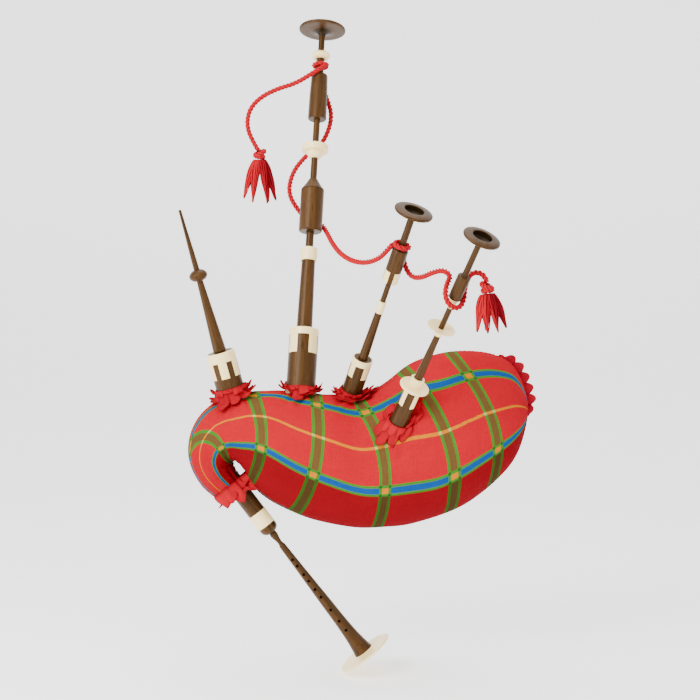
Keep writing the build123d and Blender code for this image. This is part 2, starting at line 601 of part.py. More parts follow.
on_chanter = pipe_plane(CHANTER_LINE)
band = turned(
    (CHANTER_STOCK_R - 2, 48.5), [(CHANTER_STOCK_R + 0.2, 48.5)], [(CHANTER_STOCK_R + 0.5, 49)],
    [(CHANTER_STOCK_R + 0.5, 75.3)], [(CHANTER_STOCK_R + 0.2, 75.8)], [(CHANTER_STOCK_R - 2, 75.8)],
)
parts["chanter_stock_band"] = on_chanter * band
parts["chanter_stock"] = on_chanter * (
    turned(
        (6.4, -34), [(13.8, -34)], [(15.8, -31)], [(CHANTER_STOCK_R, 80)],
        [(14.4, 86), (9, CHANTER_STOCK_TOP)], [(6.4, CHANTER_STOCK_TOP)],
    ) - band
)
chanter = turned(
    (2.5, 50), [(5.6, 50)], [(6.0, 51)], *groove(6.0, 0.7, CHANTER_TENON_HEMP),
    [(6.0, CHANTER_STOCK_TOP + SEAT_GAP)], [(6.6, 95), (5.6, 103), (5.7, 120)],
    [(7.2, 180), (9.4, 250), (12.4, 318), (17.2, CHANTER_SOLE_Z)], [(11.3, CHANTER_SOLE_Z)],
    [(1.9, 66)], [(2.5, 64)],
)
for height in FINGER_HOLE_HEIGHTS:
    finger_hole = Pos(0, -15, height) * Rot(90, 0, 0) * Cylinder(HOLE_R, 28)
    chanter -= Rot(0, 0, 4) * finger_hole
thumb_hole = Pos(0, 15, THUMB_HOLE_HEIGHT) * Rot(90, 0, 0) * Cylinder(HOLE_R, 28)
chanter -= thumb_hole
parts["chanter"] = on_chanter * chanter
parts["chanter_hemp"] = on_chanter * tube(6.2, 5.3, *CHANTER_TENON_HEMP)
parts["chanter_reed"] = on_chanter * (
    turned((1.0, 34), [(2.0, 34)], [(2.4, 62)], [(1.3, 62)])
    + loft([Pos(0, 0, 12) * Rectangle(12, 1.6), Pos(0, 0, 34) * Ellipse(3.6, 2.6)])
)
parts["chanter_sole"] = on_chanter * turned(
    (11.32, CHANTER_SOLE_Z), [(17.4, CHANTER_SOLE_Z)],
    [(30, CHANTER_SOLE_Z + 1.6), (48, CHANTER_SOLE_Z + 2)],
    [(CHANTER_SOLE_R, CHANTER_SOLE_Z + 4), (48.5, CHANTER_SOLE_Z + 6)], [(14.5, CHANTER_SOLE_Z + 6.5)],
    [(11.32, CHANTER_SOLE_Z + 5)],
)

# ---------------------------------------------------------------- cord, wraps and tassels

bass_turn = on_bass * Pos(0, 0, BASS_CORD_Z) * Torus(CORD_R + 7.0, CORD_R)
middle_turn = on_middle * Pos(0, 0, MIDDLE_CORD_Z) * Torus(CORD_R + 6.3, CORD_R)
behind = midpoint(BASS_TO_MIDDLE, ROUTE_SPLIT_BEHIND_BASS)
midspan = midpoint(BASS_TO_MIDDLE, ROUTE_SPLIT_MIDSPAN)
tenors = midpoint(MIDDLE_TO_OUTER, ROUTE_SPLIT_TENORS)
parts["cord_bass_run"] = cord(
    "cord_bass_run", BASS_TO_MIDDLE[:ROUTE_SPLIT_BEHIND_BASS + 1] + [behind])
parts["cord_bass_span"] = cord(
    "cord_bass_span",
    [behind] + BASS_TO_MIDDLE[ROUTE_SPLIT_BEHIND_BASS + 1:ROUTE_SPLIT_MIDSPAN + 1] + [midspan])
parts["cord_middle_span"] = cord(
    "cord_middle_span", [midspan] + BASS_TO_MIDDLE[ROUTE_SPLIT_MIDSPAN + 1:])
parts["cord_tenor_span"] = middle_turn + cord(
    "cord_tenor_span", MIDDLE_TO_OUTER[:ROUTE_SPLIT_TENORS + 1] + [tenors])
parts["cord_outer_loop"] = cord(
    "cord_outer_loop", [tenors] + MIDDLE_TO_OUTER[ROUTE_SPLIT_TENORS + 1:])
parts["cord_left_tail"] = bass_turn + cord("cord_left_tail", LEFT_TAIL)
parts["left_tassel"] = Pos(*LEFT_KNOT) * tassel(17, 10, TASSEL_LENGTHS[0], 15, 29)
parts["right_tassel"] = Pos(*RIGHT_KNOT) * Rot(0, -7, 0) * tassel(13.5, 10, TASSEL_LENGTHS[1], 9, 26)

# ---------------------------------------------------------------- files

os.makedirs("parts", exist_ok=True)
for name, shape in parts.items():
    shape.label = name
    export_step(shape, f"parts/{name}.step")
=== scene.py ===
"""Looks for the bagpipes: tartan cover, frills, twisted cord, tassels, wood and ivory-coloured mounts."""
import math
import random

import bpy
import numpy as np
from mathutils import Matrix, Vector, noise
from mathutils.bvhtree import BVHTree


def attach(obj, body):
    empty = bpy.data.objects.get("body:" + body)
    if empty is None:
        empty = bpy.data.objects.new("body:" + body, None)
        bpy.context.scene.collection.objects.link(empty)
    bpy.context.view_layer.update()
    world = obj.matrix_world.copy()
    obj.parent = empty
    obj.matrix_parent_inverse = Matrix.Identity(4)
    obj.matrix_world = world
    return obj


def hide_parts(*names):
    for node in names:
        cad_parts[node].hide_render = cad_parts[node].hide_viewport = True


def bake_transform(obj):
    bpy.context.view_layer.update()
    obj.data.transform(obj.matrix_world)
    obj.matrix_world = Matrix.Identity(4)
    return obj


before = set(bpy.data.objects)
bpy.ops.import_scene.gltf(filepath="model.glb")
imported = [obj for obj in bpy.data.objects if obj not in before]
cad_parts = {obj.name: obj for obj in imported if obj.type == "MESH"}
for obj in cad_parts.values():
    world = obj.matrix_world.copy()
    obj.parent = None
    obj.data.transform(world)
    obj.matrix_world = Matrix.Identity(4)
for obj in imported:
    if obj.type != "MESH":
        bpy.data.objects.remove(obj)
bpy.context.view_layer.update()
scene = bpy.context.scene
MM = 0.001

# ---------------------------------------------------------------- camera

camera_data = bpy.data.cameras.new("camera")
camera_data.lens = 78.66
camera_data.sensor_width = 36
camera = bpy.data.objects.new("camera", camera_data)
scene.collection.objects.link(camera)
camera.location = (-0.01708, -2.59367, 0.35600)
aim = Vector((-0.01708, 0, 0.17464))
camera.rotation_euler = (aim - camera.location).to_track_quat("-Z", "Y").to_euler()
scene.camera = camera

# ---------------------------------------------------------------- pipes' lines, as in the CAD


def pipe_frame(base, tilt, lean):
    """Matrix from a pipe's own metres to the row frame. Z runs up the pipe and -Y is towards the listener."""
    side = math.radians(tilt)
    front = math.radians(lean)
    up = Vector((math.sin(side) * math.cos(front), -math.sin(front), math.cos(side) * math.cos(front)))
    x = Vector((math.cos(side), 0, -math.sin(side)))
    m = Matrix((x, up.cross(x), up)).transposed().to_4x4()
    m.translation = Vector(base) * MM
    return m


PIPES = {
    "bass": pipe_frame((-101, 8, 111), 3.1, -17),
    "middle_tenor": pipe_frame((-14, -12, 106.5), 18.2, 24),
    "outer_tenor": pipe_frame((61, -88, 58), 22.0, 26),
    "blowpipe": pipe_frame((-220, -5, 108), -15.0, 5),
    "chanter": pipe_frame((-206, 0, -65.5), 142.8, 0),
}
STOCK_RADIUS = {"bass": 25.0, "middle_tenor": 17.2, "outer_tenor": 14.9, "blowpipe": 23.8, "chanter": 15.8}
# Low and high end of each stock's thread binding, mm up the pipe. The CAD has the bass one at (-6, 5).
BINDINGS = {
    "bass": (-16, -5), "middle_tenor": (-14, 0), "outer_tenor": (-6, 3), "blowpipe": (-12, 2), "chanter": (-2, 8),
}

# ---------------------------------------------------------------- material building


def srgb(r, g, b):
    """Linear RGBA from 8-bit sRGB."""
    def linear(c):
        c /= 255
        return c / 12.92 if c <= 0.04045 else ((c + 0.055) / 1.055) ** 2.4
    return (linear(r), linear(g), linear(b), 1.0)


class Graph:
    """Short calls for building one material's nodes."""

    def __init__(self, name):
        self.material = bpy.data.materials.new(name)
        self.material.use_nodes = True
        self.tree = self.material.node_tree
        self.shader = self.tree.nodes["Principled BSDF"]

    def put(self, socket, value):
        """Link a socket, or set its constant."""
        if isinstance(value, bpy.types.NodeSocket):
            self.tree.links.new(value, socket)
        else:
            socket.default_value = value

    def node(self, kind, **settings):
        n = self.tree.nodes.new(kind)
        for key, value in settings.items():
            setattr(n, key, value)
        return n

    def math(self, operation, *values):
        n = self.node("ShaderNodeMath", operation=operation)
        for socket, value in zip(n.inputs, values):
            self.put(socket, value)
        return n.outputs[0]

    def vector(self, operation, a, b):
        n = self.node("ShaderNodeVectorMath", operation=operation)
        self.put(n.inputs[0], a)
        self.put(n.inputs[1], b)
        return n.outputs["Vector"]

    def combine(self, x, y, z=0.0):
        n = self.node("ShaderNodeCombineXYZ")
        for socket, value in zip(n.inputs, (x, y, z)):
            self.put(socket, value)
        return n.outputs[0]

    def split(self, vector):
        n = self.node("ShaderNodeSeparateXYZ")
        self.put(n.inputs[0], vector)
        return n.outputs

    def above(self, value, edge, soft):
        """0 below the edge, 1 above it, with a soft step."""
        n = self.node("ShaderNodeMapRange", interpolation_type="SMOOTHSTEP")
        self.put(n.inputs["Value"], value)
        n.inputs["From Min"].default_value = edge - soft
        n.inputs["From Max"].default_value = edge + soft
        return n.outputs[0]

    def fit(self, value, low, high, to_low, to_high):
        """Straight map from one range to another, held at its ends."""
        n = self.node("ShaderNodeMapRange")
        self.put(n.inputs["Value"], value)
        for key, number in (("From Min", low), ("From Max", high), ("To Min", to_low), ("To Max", to_high)):
            n.inputs[key].default_value = number
        return n.outputs[0]

    def mix(self, factor, a, b, blend="MIX"):
        n = self.node("ShaderNodeMix", data_type="RGBA", blend_type=blend)
        self.put(n.inputs[0], factor)
        self.put(n.inputs[6], a)
        self.put(n.inputs[7], b)
        return n.outputs[2]

    def attribute(self, name):
        return self.node("ShaderNodeAttribute", attribute_name=name).outputs["Fac"]

    def object_coords(self):
        return self.node("ShaderNodeTexCoord").outputs["Object"]

    def along_pipe(self, pipe):
        """Coordinates in the pipe's own frame."""
        n = self.node("ShaderNodeMapping", vector_type="TEXTURE")
        self.put(n.inputs["Vector"], self.object_coords())
        n.inputs["Location"].default_value = PIPES[pipe].translation
        n.inputs["Rotation"].default_value = PIPES[pipe].to_euler()
        return n.outputs[0]

    def noise(self, vector, scale, detail=3.0, roughness=0.5, distortion=0.0):
        n = self.node("ShaderNodeTexNoise")
        self.put(n.inputs["Vector"], vector)
        settings = {"Scale": scale, "Detail": detail, "Roughness": roughness, "Distortion": distortion}
        for key, number in settings.items():
            n.inputs[key].default_value = number
        return n.outputs["Fac"]

    def wave(self, value, pitch):
        """Sine of a length, from -1 to 1, one cycle per pitch."""
        return self.math("SINE", self.math("MULTIPLY", value, 2 * math.pi / pitch))

    def set(self, **values):
        for key, value in values.items():
            self.put(self.shader.inputs[key.replace("_", " ")], value)

    def bump(self, height, distance, strength=1.0):
        n = self.node("ShaderNodeBump")
        n.inputs["Strength"].default_value = strength
        n.inputs["Distance"].default_value = distance
        self.put(n.inputs["Height"], height)
        self.put(self.shader.inputs["Normal"], n.outputs[0])


RED = (0.40, 0.0045, 0.013, 1.0)
GREEN = (0.036, 0.165, 0.016, 1.0)
BLUE = (0.005, 0.058, 0.23, 1.0)
BROWN = (0.108, 0.056, 0.017, 1.0)
ORANGE = (0.50, 0.155, 0.003, 1.0)
GREEN_ON_GREEN = (0.014, 0.08, 0.012, 1.0)
GREEN_ON_ORANGE = (0.3, 0.36, 0.1, 1.0)
SILK = (0.46, 0.006, 0.014, 1.0)
SILK_DARK = (0.22, 0.003, 0.008, 1.0)
# painted shade for the grooves between the cord's strands
SILK_GROOVE_SHADE = (0.08, 0.002, 0.005, 1.0)
YARN_LIT = (0.5, 0.006, 0.015, 1.0)
YARN_DARK = (0.13, 0.002, 0.006, 1.0)
YARN_FUZZ = (0.17, 0.003, 0.008, 1.0)
WOOD_DARK = (0.022, 0.009, 0.002, 1.0)
WOOD_LIGHT = (0.068, 0.029, 0.007, 1.0)
WOOD_WARM = (0.05, 0.017, 0.004, 1.0)
WOOD_PORE = (0.010, 0.004, 0.001, 1.0)
# painted shade inside the bells' mouths
BELL_MOUTH_SHADE = (0.008, 0.004, 0.001, 1.0)
IVORY = (1.0, 0.80, 0.39, 1.0)
IVORY_LINE = (0.9, 0.62, 0.23, 1.0)
IVORY_PATCH = (0.92, 0.62, 0.23, 1.0)

# Half widths of the tartan's bands: across the bag in mm, along it in degrees
CROSS_HALF = 11.0
CROSS_BROWN_HALF = 6.0
LENGTH_HALF = 4.9
LENGTH_BLUE_HALF = 2.6
THIN_LINE_FROM = 34.7
THIN_LINE_EDGE = 0.66
# UNDERSIDE_SHADE is painted shade: the share of the colour kept on the cover's underside
UNDERSIDE_SHADE = 0.46


def tartan_material():
    """Woven tartan from the cover's attributes: "cross" and "band" say how far a point is from each band."""
    g = Graph("tartan")
    cross = g.attribute("cross")
    band = g.attribute("band")
    wobble = g.math("MULTIPLY", g.math("SUBTRACT", g.noise(g.object_coords(), 900.0, 1.0), 0.5), 0.5)
    cross_at = g.math("ADD", cross, wobble)
    band_at = g.math("ADD", band, wobble)

    def under(value, edge, soft):
        return g.math("SUBTRACT", 1.0, g.above(value, edge, soft))

    across = under(cross_at, CROSS_HALF, 0.35)
    across_brown = under(cross_at, CROSS_BROWN_HALF, 0.35)
    across_green = g.math("SUBTRACT", across, across_brown)
    length = under(band_at, LENGTH_HALF, 0.2)
    length_blue = under(band_at, LENGTH_BLUE_HALF, 0.2)
    length_green = g.math("SUBTRACT", length, length_blue)
    # painted shade: below is 1 on the cover's underside, which is darkened and keeps no thin line
    below = g.above(g.attribute("under"), 0.0, 1.2)
    thin_line = g.math("MULTIPLY", g.above(band_at, THIN_LINE_FROM, 0.2),
                       under(g.attribute("edge"), THIN_LINE_EDGE, 0.01))
    thin_line = g.math("MULTIPLY", thin_line, g.math("SUBTRACT", 1.0, below))
    colour = g.mix(length_blue, RED, BLUE)
    colour = g.mix(across_brown, colour, BROWN)
    colour = g.mix(thin_line, colour, ORANGE)
    colour = g.mix(g.math("MULTIPLY", across_brown, length_blue), colour, ORANGE)
    either = g.math("MAXIMUM", across_green, length_green)
    colour = g.mix(either, colour, GREEN)
    colour = g.mix(g.math("MULTIPLY", across_green, length_green), colour, GREEN_ON_GREEN)
    colour = g.mix(g.math("MULTIPLY", across_green, thin_line), colour, GREEN_ON_ORANGE)

    along = g.attribute("along")
    around = g.attribute("around")
    twill = g.wave(g.math("ADD", along, around), 2.1)
    warp = g.noise(g.combine(g.math("MULTIPLY", along, 0.03), g.math("MULTIPLY", around, 1.1)), 1.0, 2.0)
    weft = g.noise(g.combine(g.math("MULTIPLY", along, 1.1), g.math("MULTIPLY", around, 0.03)), 1.0, 2.0)
    threads = g.math("ADD", warp, weft)
    light = g.math("ADD", g.fit(threads, 0.5, 1.5, 0.86, 1.12), g.math("MULTIPLY", twill, 0.05))
    mottle = g.fit(g.noise(g.object_coords(), 14.0, 3.0), 0.3, 0.7, 0.95, 1.05)
    light = g.math("MULTIPLY", light, mottle)
    # painted shade: the underside's colour is scaled down to UNDERSIDE_SHADE
    shade = g.fit(below, 0.0, 1.0, 1.0, UNDERSIDE_SHADE)
    light = g.math("MULTIPLY", light, shade)
    colour = g.mix(1.0, colour, g.combine(light, light, light), "MULTIPLY")
    g.set(Base_Color=colour, Roughness=0.9, Specular_IOR_Level=0.02)
    weave = g.math("ADD", g.math("MULTIPLY", twill, 0.5), g.math("MULTIPLY", threads, 0.8))
    g.bump(weave, 0.0005, 0.8)
    return g.material


def felt_material(name, colour, dark):
    """Soft cut cloth: mottled, fuzzy, and darker in its folds by painted shade from its depth attribute."""
    g = Graph(name)
    coords = g.object_coords()
    fuzz = g.noise(coords, 1500.0, 4.0, 0.7)
    patches = g.noise(coords, 60.0, 2.0)
    tone = g.math("ADD", g.math("MULTIPLY", fuzz, 0.55), g.math("MULTIPLY", patches, 0.45))
    depth = g.attribute("depth")
    base = g.mix(g.fit(tone, 0.35, 0.65, 0.35, 0.0), colour, dark)
    # painted shade: the depth attribute darkens the cloth towards dark
    base = g.mix(depth, base, dark)
    g.set(Base_Color=base, Roughness=0.92, Specular_IOR_Level=0.02)
    g.bump(fuzz, 0.0006, 0.9)
    return g.material


def cord_material():
    """Silky thread laid round each strand; "strand" runs across it and "along" down it."""
    g = Graph("silk_cord")
    along = g.attribute("along")
    strand = g.attribute("strand")
    fibre = g.noise(g.combine(g.math("MULTIPLY", along, 0.08), g.math("MULTIPLY", strand, 60.0)), 1.0, 3.0)
    groove_shade = g.attribute("depth")
    base = g.mix(g.fit(fibre, 0.3, 0.7, 0.0, 0.4), SILK, SILK_DARK)
    # painted shade in the grooves between the strands
    base = g.mix(groove_shade, base, SILK_GROOVE_SHADE)
    g.set(Base_Color=base, Roughness=g.fit(fibre, 0.3, 0.7, 0.5, 0.66), Specular_IOR_Level=0.05)
    g.bump(fibre, 0.0004, 0.8)
    return g.material


def yarn_material():
    """Tassel strands, each of its own tone."""
    g = Graph("tassel_yarn")
    tone = g.attribute("tone")
    fuzz = g.noise(g.object_coords(), 1800.0, 3.0, 0.7)
    base = g.mix(tone, YARN_LIT, YARN_DARK)
    base = g.mix(g.fit(fuzz, 0.35, 0.7, 0.25, 0.0), base, YARN_FUZZ)
    g.set(Base_Color=base, Roughness=0.66, Specular_IOR_Level=0.05)
    g.bump(fuzz, 0.0003, 0.7)
    return g.material


def thread_material(name, colour, dark, pitch):
    """Waxed thread in close turns round a pipe."""
    g = Graph(name)
    turn = g.attribute("depth")
    fibre = g.noise(g.object_coords(), 2200.0, 3.0, 0.6)
    base = g.mix(g.fit(fibre, 0.3, 0.7, 0.4, 0.0), colour, dark)
    # painted shade: the depth attribute darkens the thread between its turns and at the band's ends
    base = g.mix(turn, base, dark)
    g.set(Base_Color=base, Roughness=0.62, Specular_IOR_Level=0.4)
    g.bump(fibre, 0.0003 * pitch, 0.8)
    return g.material


def wood_material(pipe, mouth=None):
    """Polished dark hardwood with grain along the pipe; mouth is the radius of a bell's inside, which gets
    painted shade.
    """
    g = Graph(f"wood_{pipe}" + ("_bell" if mouth else ""))
    local = g.along_pipe(pipe)
    x, y, z = g.split(local)
    stretched = g.vector("MULTIPLY", local, (1.0, 1.0, 0.045))
    figure = g.noise(stretched, 95.0, 4.0, 0.55, 0.6)
    pores = g.noise(stretched, 900.0, 2.0, 0.6)
    broad = g.noise(local, 18.0, 2.0)
    colour = g.mix(g.fit(figure, 0.32, 0.68, 0.0, 1.0), WOOD_DARK, WOOD_LIGHT)
    colour = g.mix(g.fit(broad, 0.35, 0.65, 0.0, 0.35), colour, WOOD_WARM)
    colour = g.mix(g.above(pores, 0.63, 0.06), colour, WOOD_PORE)
    if mouth:
        # painted shade: points within the mouth's radius of the pipe's line are darkened
        radius = g.math("SQRT", g.math("ADD", g.math("MULTIPLY", x, x), g.math("MULTIPLY", y, y)))
        inside = g.math("SUBTRACT", 1.0, g.above(radius, mouth * MM, 0.0006))
        colour = g.mix(inside, colour, BELL_MOUTH_SHADE)
    lathe = g.wave(z, 0.0011)
    gloss = g.fit(figure, 0.3, 0.7, 0.30, 0.42)
    g.set(Base_Color=colour, Roughness=gloss, Specular_IOR_Level=0.22, Specular_Tint=(1.0, 0.7, 0.42, 1.0),
          Coat_Weight=0.03, Coat_Roughness=0.12)
    g.bump(g.math("ADD", g.math("MULTIPLY", pores, -0.6), g.math("MULTIPLY", lathe, 0.12)), 0.0002, 0.8)
    return g.material


def ivory_material(pipe):
    """Imitation ivory: fine growth lines along the pipe, warm patches and a soft polish."""
    g = Graph(f"ivory_{pipe}")
    local = g.along_pipe(pipe)
    stretched = g.vector("MULTIPLY", local, (1.0, 1.0, 0.08))
    lines = g.noise(stretched, 420.0, 3.0, 0.5, 0.3)
    patches = g.noise(local, 40.0, 2.0)
    colour = g.mix(g.fit(lines, 0.35, 0.65, 0.0, 0.5), IVORY, IVORY_LINE)
    colour = g.mix(g.fit(patches, 0.4, 0.65, 0.0, 0.3), colour, IVORY_PATCH)
    g.set(Base_Color=colour, Roughness=g.fit(lines, 0.3, 0.7, 0.26, 0.38), Specular_IOR_Level=0.4,
          Coat_Weight=0.15, Coat_Roughness=0.12)
    g.bump(lines, 0.00015, 0.6)
    return g.material


def simple_grain(name, colour, dark, scale, roughness):
    """Cane or leather: speckled colour with a matching bump."""
    g = Graph(name)
    spots = g.noise(g.object_coords(), scale, 4.0, 0.6)
    g.set(Base_Color=g.mix(g.fit(spots, 0.35, 0.65, 0.0, 1.0), colour, dark), Roughness=roughness)
    g.bump(spots, 0.0003, 0.8)
    return g.material


TARTAN = tartan_material()
FELT = felt_material("frill_felt", (0.44, 0.0055, 0.014, 1.0), (0.13, 0.002, 0.006, 1.0))
TRIM = felt_material("trim_felt", (0.32, 0.006, 0.017, 1.0), (0.12, 0.003, 0.008, 1.0))
CORD = cord_material()
YARN = yarn_material()
HEMP = thread_material("hemp_thread", srgb(180, 150, 84), srgb(118, 86, 40), 1.0)
TWINE = thread_material("binding_twine", srgb(170, 142, 92), srgb(112, 84, 46), 1.6)
CANE = simple_grain("reed_cane", srgb(222, 192, 124), srgb(190, 150, 84), 500.0, 0.5)
LEATHER = simple_grain("valve_leather", srgb(92, 60, 36), srgb(60, 38, 22), 900.0, 0.75)
WOODS = {pipe: wood_material(pipe) for pipe in PIPES}
IVORIES = {pipe: ivory_material(pipe) for pipe in PIPES}
BELL_WOODS = {pipe: wood_material(pipe, mouth)
              for pipe, mouth in (("bass", 17.3), ("middle_tenor", 16.6), ("outer_tenor", 16.3))}

# ---------------------------------------------------------------- meshes


def make_object(name, points, faces, material, attributes=None):
    """Smooth-shaded mesh object in the row frame, with float attributes on its points."""
    mesh = bpy.data.meshes.new(name)
    mesh.from_pydata([tuple(p) for p in points], [], faces)
    mesh.update()
    mesh.polygons.foreach_set("use_smooth", [True] * len(mesh.polygons))
    for key, values in (attributes or {}).items():
        data = mesh.attributes.new(key, "FLOAT", "POINT").data
        data.foreach_set("value", np.asarray(values, dtype=float).ravel())
    mesh.materials.append(material)
    obj = bpy.data.objects.new(name, mesh)
    scene.collection.objects.link(obj)
    return obj


def grid_faces(rows, columns, closed, start=0):
    """Quads of a grid stored row by row; closed joins the last column to the first."""
    faces = []
    for i in range(rows - 1):
        for j in range(columns if closed else columns - 1):
            k = (j + 1) % columns
            a = start + i * columns
            b = a + columns
            faces.append((a + j, a + k, b + k, b + j))
    return faces


def cap_faces(ring, centre, flip):
    """Triangles from a ring of indices to a centre point."""
    faces = []
    for j, a in enumerate(ring):
        b = ring[(j + 1) % len(ring)]
        faces.append((b, a, centre) if flip else (a, b, centre))
    return faces


# ---------------------------------------------------------------- bag cover

# x, z, half height, half depth (mm) and heading (degrees) from the back end to the neck, as in the CAD
SECTIONS = np.array([
    (286, 70, 8, 6, 0), (283, 70, 26, 20, 0), (272, 69, 60, 46, 0), (255, 66, 87, 66, 0),
    (229, 58, 108, 82, 0), (187, 45, 128, 97, 0), (136, 30, 138, 105, 0), (85, 14, 137, 104, 0),
    (42, -5, 123, 95, 0), (0, -17, 112, 88, 0), (-51, -12, 110, 86, 0), (-102, -3, 104, 82, 0),
    (-153, 12, 94, 75, 0), (-195, 22, 78, 65, 10), (-228, 24, 62, 55, 32), (-249, 8, 46, 43, 62),
    (-254, -15, 38, 37, 90), (-245, -39, 32, 31, 118), (-228, -58, 28, 27.5, 136), (-211, -72, 24, 24, 143),
], dtype=float)
STATIONS = np.concatenate([[0], np.cumsum(np.sqrt((np.diff(SECTIONS[:, :3], axis=0) ** 2).sum(1)))])


def section_at(t):
    """Smooth section values at stations t."""
    h = np.diff(STATIONS)
    slope = np.diff(SECTIONS, axis=0) / h[:, None]
    tangent = np.empty_like(SECTIONS)
    tangent[0] = slope[0]
    tangent[-1] = slope[-1]
    tangent[1:-1] = (slope[:-1] * h[1:, None] + slope[1:] * h[:-1, None]) / (h[:-1] + h[1:])[:, None]
    i = np.clip(np.searchsorted(STATIONS, t) - 1, 0, len(h) - 1)
    q = ((t - STATIONS[i]) / h[i])[:, None]
    step = h[i][:, None]
    return (SECTIONS[i] * (2 * q**3 - 3 * q**2 + 1) + tangent[i] * step * (q**3 - 2 * q**2 + q)
            + SECTIONS[i + 1] * (3 * q**2 - 2 * q**3) + tangent[i + 1] * step * (q**3 - q**2))


RINGS = 250
ROUND = 180
# Each cross band's station is a + b s + c s*s, with s the sine of the angle round the bag
CROSS_BANDS = [(130, 38, 37), (214, 42, 35), (328, 17, 31), (445, -20, 21), (541, -15, 29), (623, -7, 44)]
# Angle of the thin line along the bag, by station
LINE_STATIONS = [0, 150, 226, 340, 445, 545, 628, 741]
LINE_ANGLES = [14, 12, 6, 14, 25, 38, 27, 20]
BAND_STEP = 72.0


def bag_cover():
    """The filled bag in its cover, with lumps, folds, seam and puckers, and the tartan's attributes."""
    t = np.linspace(0, STATIONS[-1], RINGS)
    phi = np.linspace(0, 2 * math.pi, ROUND, endpoint=False)
    x, z, high, deep, heading = section_at(t).T
    heading = np.radians(heading)
    s = np.sin(phi)[None, :]
    c = np.cos(phi)[None, :]
    points = np.stack([
        x[:, None] - np.sin(heading)[:, None] * high[:, None] * s,
        -deep[:, None] * c,
        z[:, None] + np.cos(heading)[:, None] * high[:, None] * s,
    ], axis=-1)
    along = np.gradient(points, axis=0)
    around = np.roll(points, -1, axis=1) - np.roll(points, 1, axis=1)
    normal = np.cross(along, around)
    normal /= np.linalg.norm(normal, axis=-1, keepdims=True) + 1e-9
    centre = np.stack([x, 0 * x, z], axis=-1)[:, None, :]
    if ((points - centre) * normal).sum() < 0:
        normal = -normal

    # soft lumps, folds in the neck's inner bend, and the sewn seam
    push = np.array([[noise.noise(Vector(p) * 0.014) for p in ring] for ring in points]) * 1.8
    tt = t[:, None]
    bend = np.exp(-((tt - 655) / 45) ** 2) * np.clip(-s, 0, 1) ** 1.5
    push += bend * 1.6 * np.sin(2 * math.pi * tt / 17 + 2 * np.cos(3 * phi)[None, :])
    seam_side = np.where(s < 0, 1.0, np.clip((210 - tt) / 20, 0, 1))
    from_seam = np.abs(points[..., 1])
    push -= seam_side * 1.7 * np.exp(-(from_seam / 1.8) ** 2)
    push += seam_side * 0.6 * np.exp(-(from_seam / 9) ** 2) * np.sin(2 * math.pi * tt / 8)
    # puckers that run out from each stock
    for name, matrix in PIPES.items():
        inverse = matrix.inverted()
        rot = np.array(inverse.to_3x3())
        local = points @ rot.T + np.array(inverse.translation) / MM
        radius = np.hypot(local[..., 0], local[..., 1])
        angle = np.arctan2(local[..., 1], local[..., 0])
        reach = np.exp(-np.clip(radius - STOCK_RADIUS[name], 0, None) / 24) * (local[..., 2] > -45)
        push += reach * (1.5 * np.sin(11 * angle + 0.06 * radius) + 0.8 * np.sin(17 * angle + 1.3))
    points = points + normal * push[..., None]

    station = np.broadcast_to(tt, (RINGS, ROUND))
    cross = np.min([np.abs(station - (a + b * s + k * s**2)) for a, b, k in CROSS_BANDS], axis=0)
    line = np.interp(t, LINE_STATIONS, LINE_ANGLES)
    kernel = np.hanning(31)
    line = np.convolve(np.pad(line, 15, "edge"), kernel / kernel.sum(), "valid")[:, None]
    turns = (np.degrees(phi)[None, :] - line) / BAND_STEP
    from_line = np.abs(turns - np.round(turns)) * BAND_STEP
    band = BAND_STEP / 2 - from_line
    degrees = (np.degrees(phi)[None, :] + 90) % 360 - 90
    front = np.where(degrees > 90, 180 - degrees, degrees)
    fields = {
        "cross": cross, "band": band, "along": station,
        "around": np.broadcast_to(np.where(phi > math.pi, 2 * math.pi - phi, phi)[None, :] * 100, station.shape),
        # painted shade: under is how many degrees a point lies below the lower blue band; the tartan is darkened
        # there
        "under": (line - BAND_STEP / 2 - 4.5) - front,
        "edge": np.broadcast_to(np.abs(s), station.shape),
    }
    flat = points.reshape(-1, 3)
    ends = np.array([points[0].mean(0), points[-1].mean(0)])
    faces = grid_faces(RINGS, ROUND, True)
    first = RINGS * ROUND
    faces += cap_faces(list(range(ROUND)), first, False)
    faces += cap_faces(list(range(first - ROUND, first)), first + 1, True)
    values = {k: np.concatenate([np.asarray(v).ravel(), [np.asarray(v)[0, 0], np.asarray(v)[-1, 0]]])
              for k, v in fields.items()}
    return make_object("tartan_cover", np.concatenate([flat, ends]) * MM, faces, TARTAN, values)


cover = bag_cover()
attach(cover, "root")
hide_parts("bag_cover", "bag")
cover_tree = BVHTree.FromPolygons([v.co for v in cover.data.vertices],
                                  [tuple(p.vertices) for p in cover.data.polygons])

# ---------------------------------------------------------------- frills

FRILL_CLOTH = 0.0013
TRIM_CLOTH = 0.0024
PROBE_ABOVE = 0.07
PROBE_REACH = 0.16


def surface_height(matrix, x, y, fallback):
    """Height along the pipe of the cover under a point of the pipe's frame."""
    up = matrix.to_3x3() @ Vector((0, 0, 1))
    start = matrix @ Vector((x, y, PROBE_ABOVE))
    hit = cover_tree.ray_cast(start, -up, PROBE_REACH)
    return fallback if hit[0] is None else PROBE_ABOVE - hit[3]


def thicken(obj, thickness):
    m = obj.modifiers.new("cloth", "SOLIDIFY")
    m.thickness = thickness
    m.offset = 0


def around_stock(name, matrix, layers, replaces):
    """Gathered cloth from rings of points, one grid per layer. Each layer is (rows, shades)."""
    points = []
    faces = []
    shade = []
    for rows, shades in layers:
        start = len(points)
        for row in rows:
            points += [matrix @ (Vector(p) * MM) for p in row]
        shade += shades
        faces += grid_faces(len(rows), len(rows[0]), True, start)
    # depth carries the cloth's painted shade
    obj = make_object(name, points, faces, FELT, {"depth": np.clip(shade, 0, 0.85)})
    thicken(obj, FRILL_CLOTH)
    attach(obj, "root")
    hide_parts(replaces)


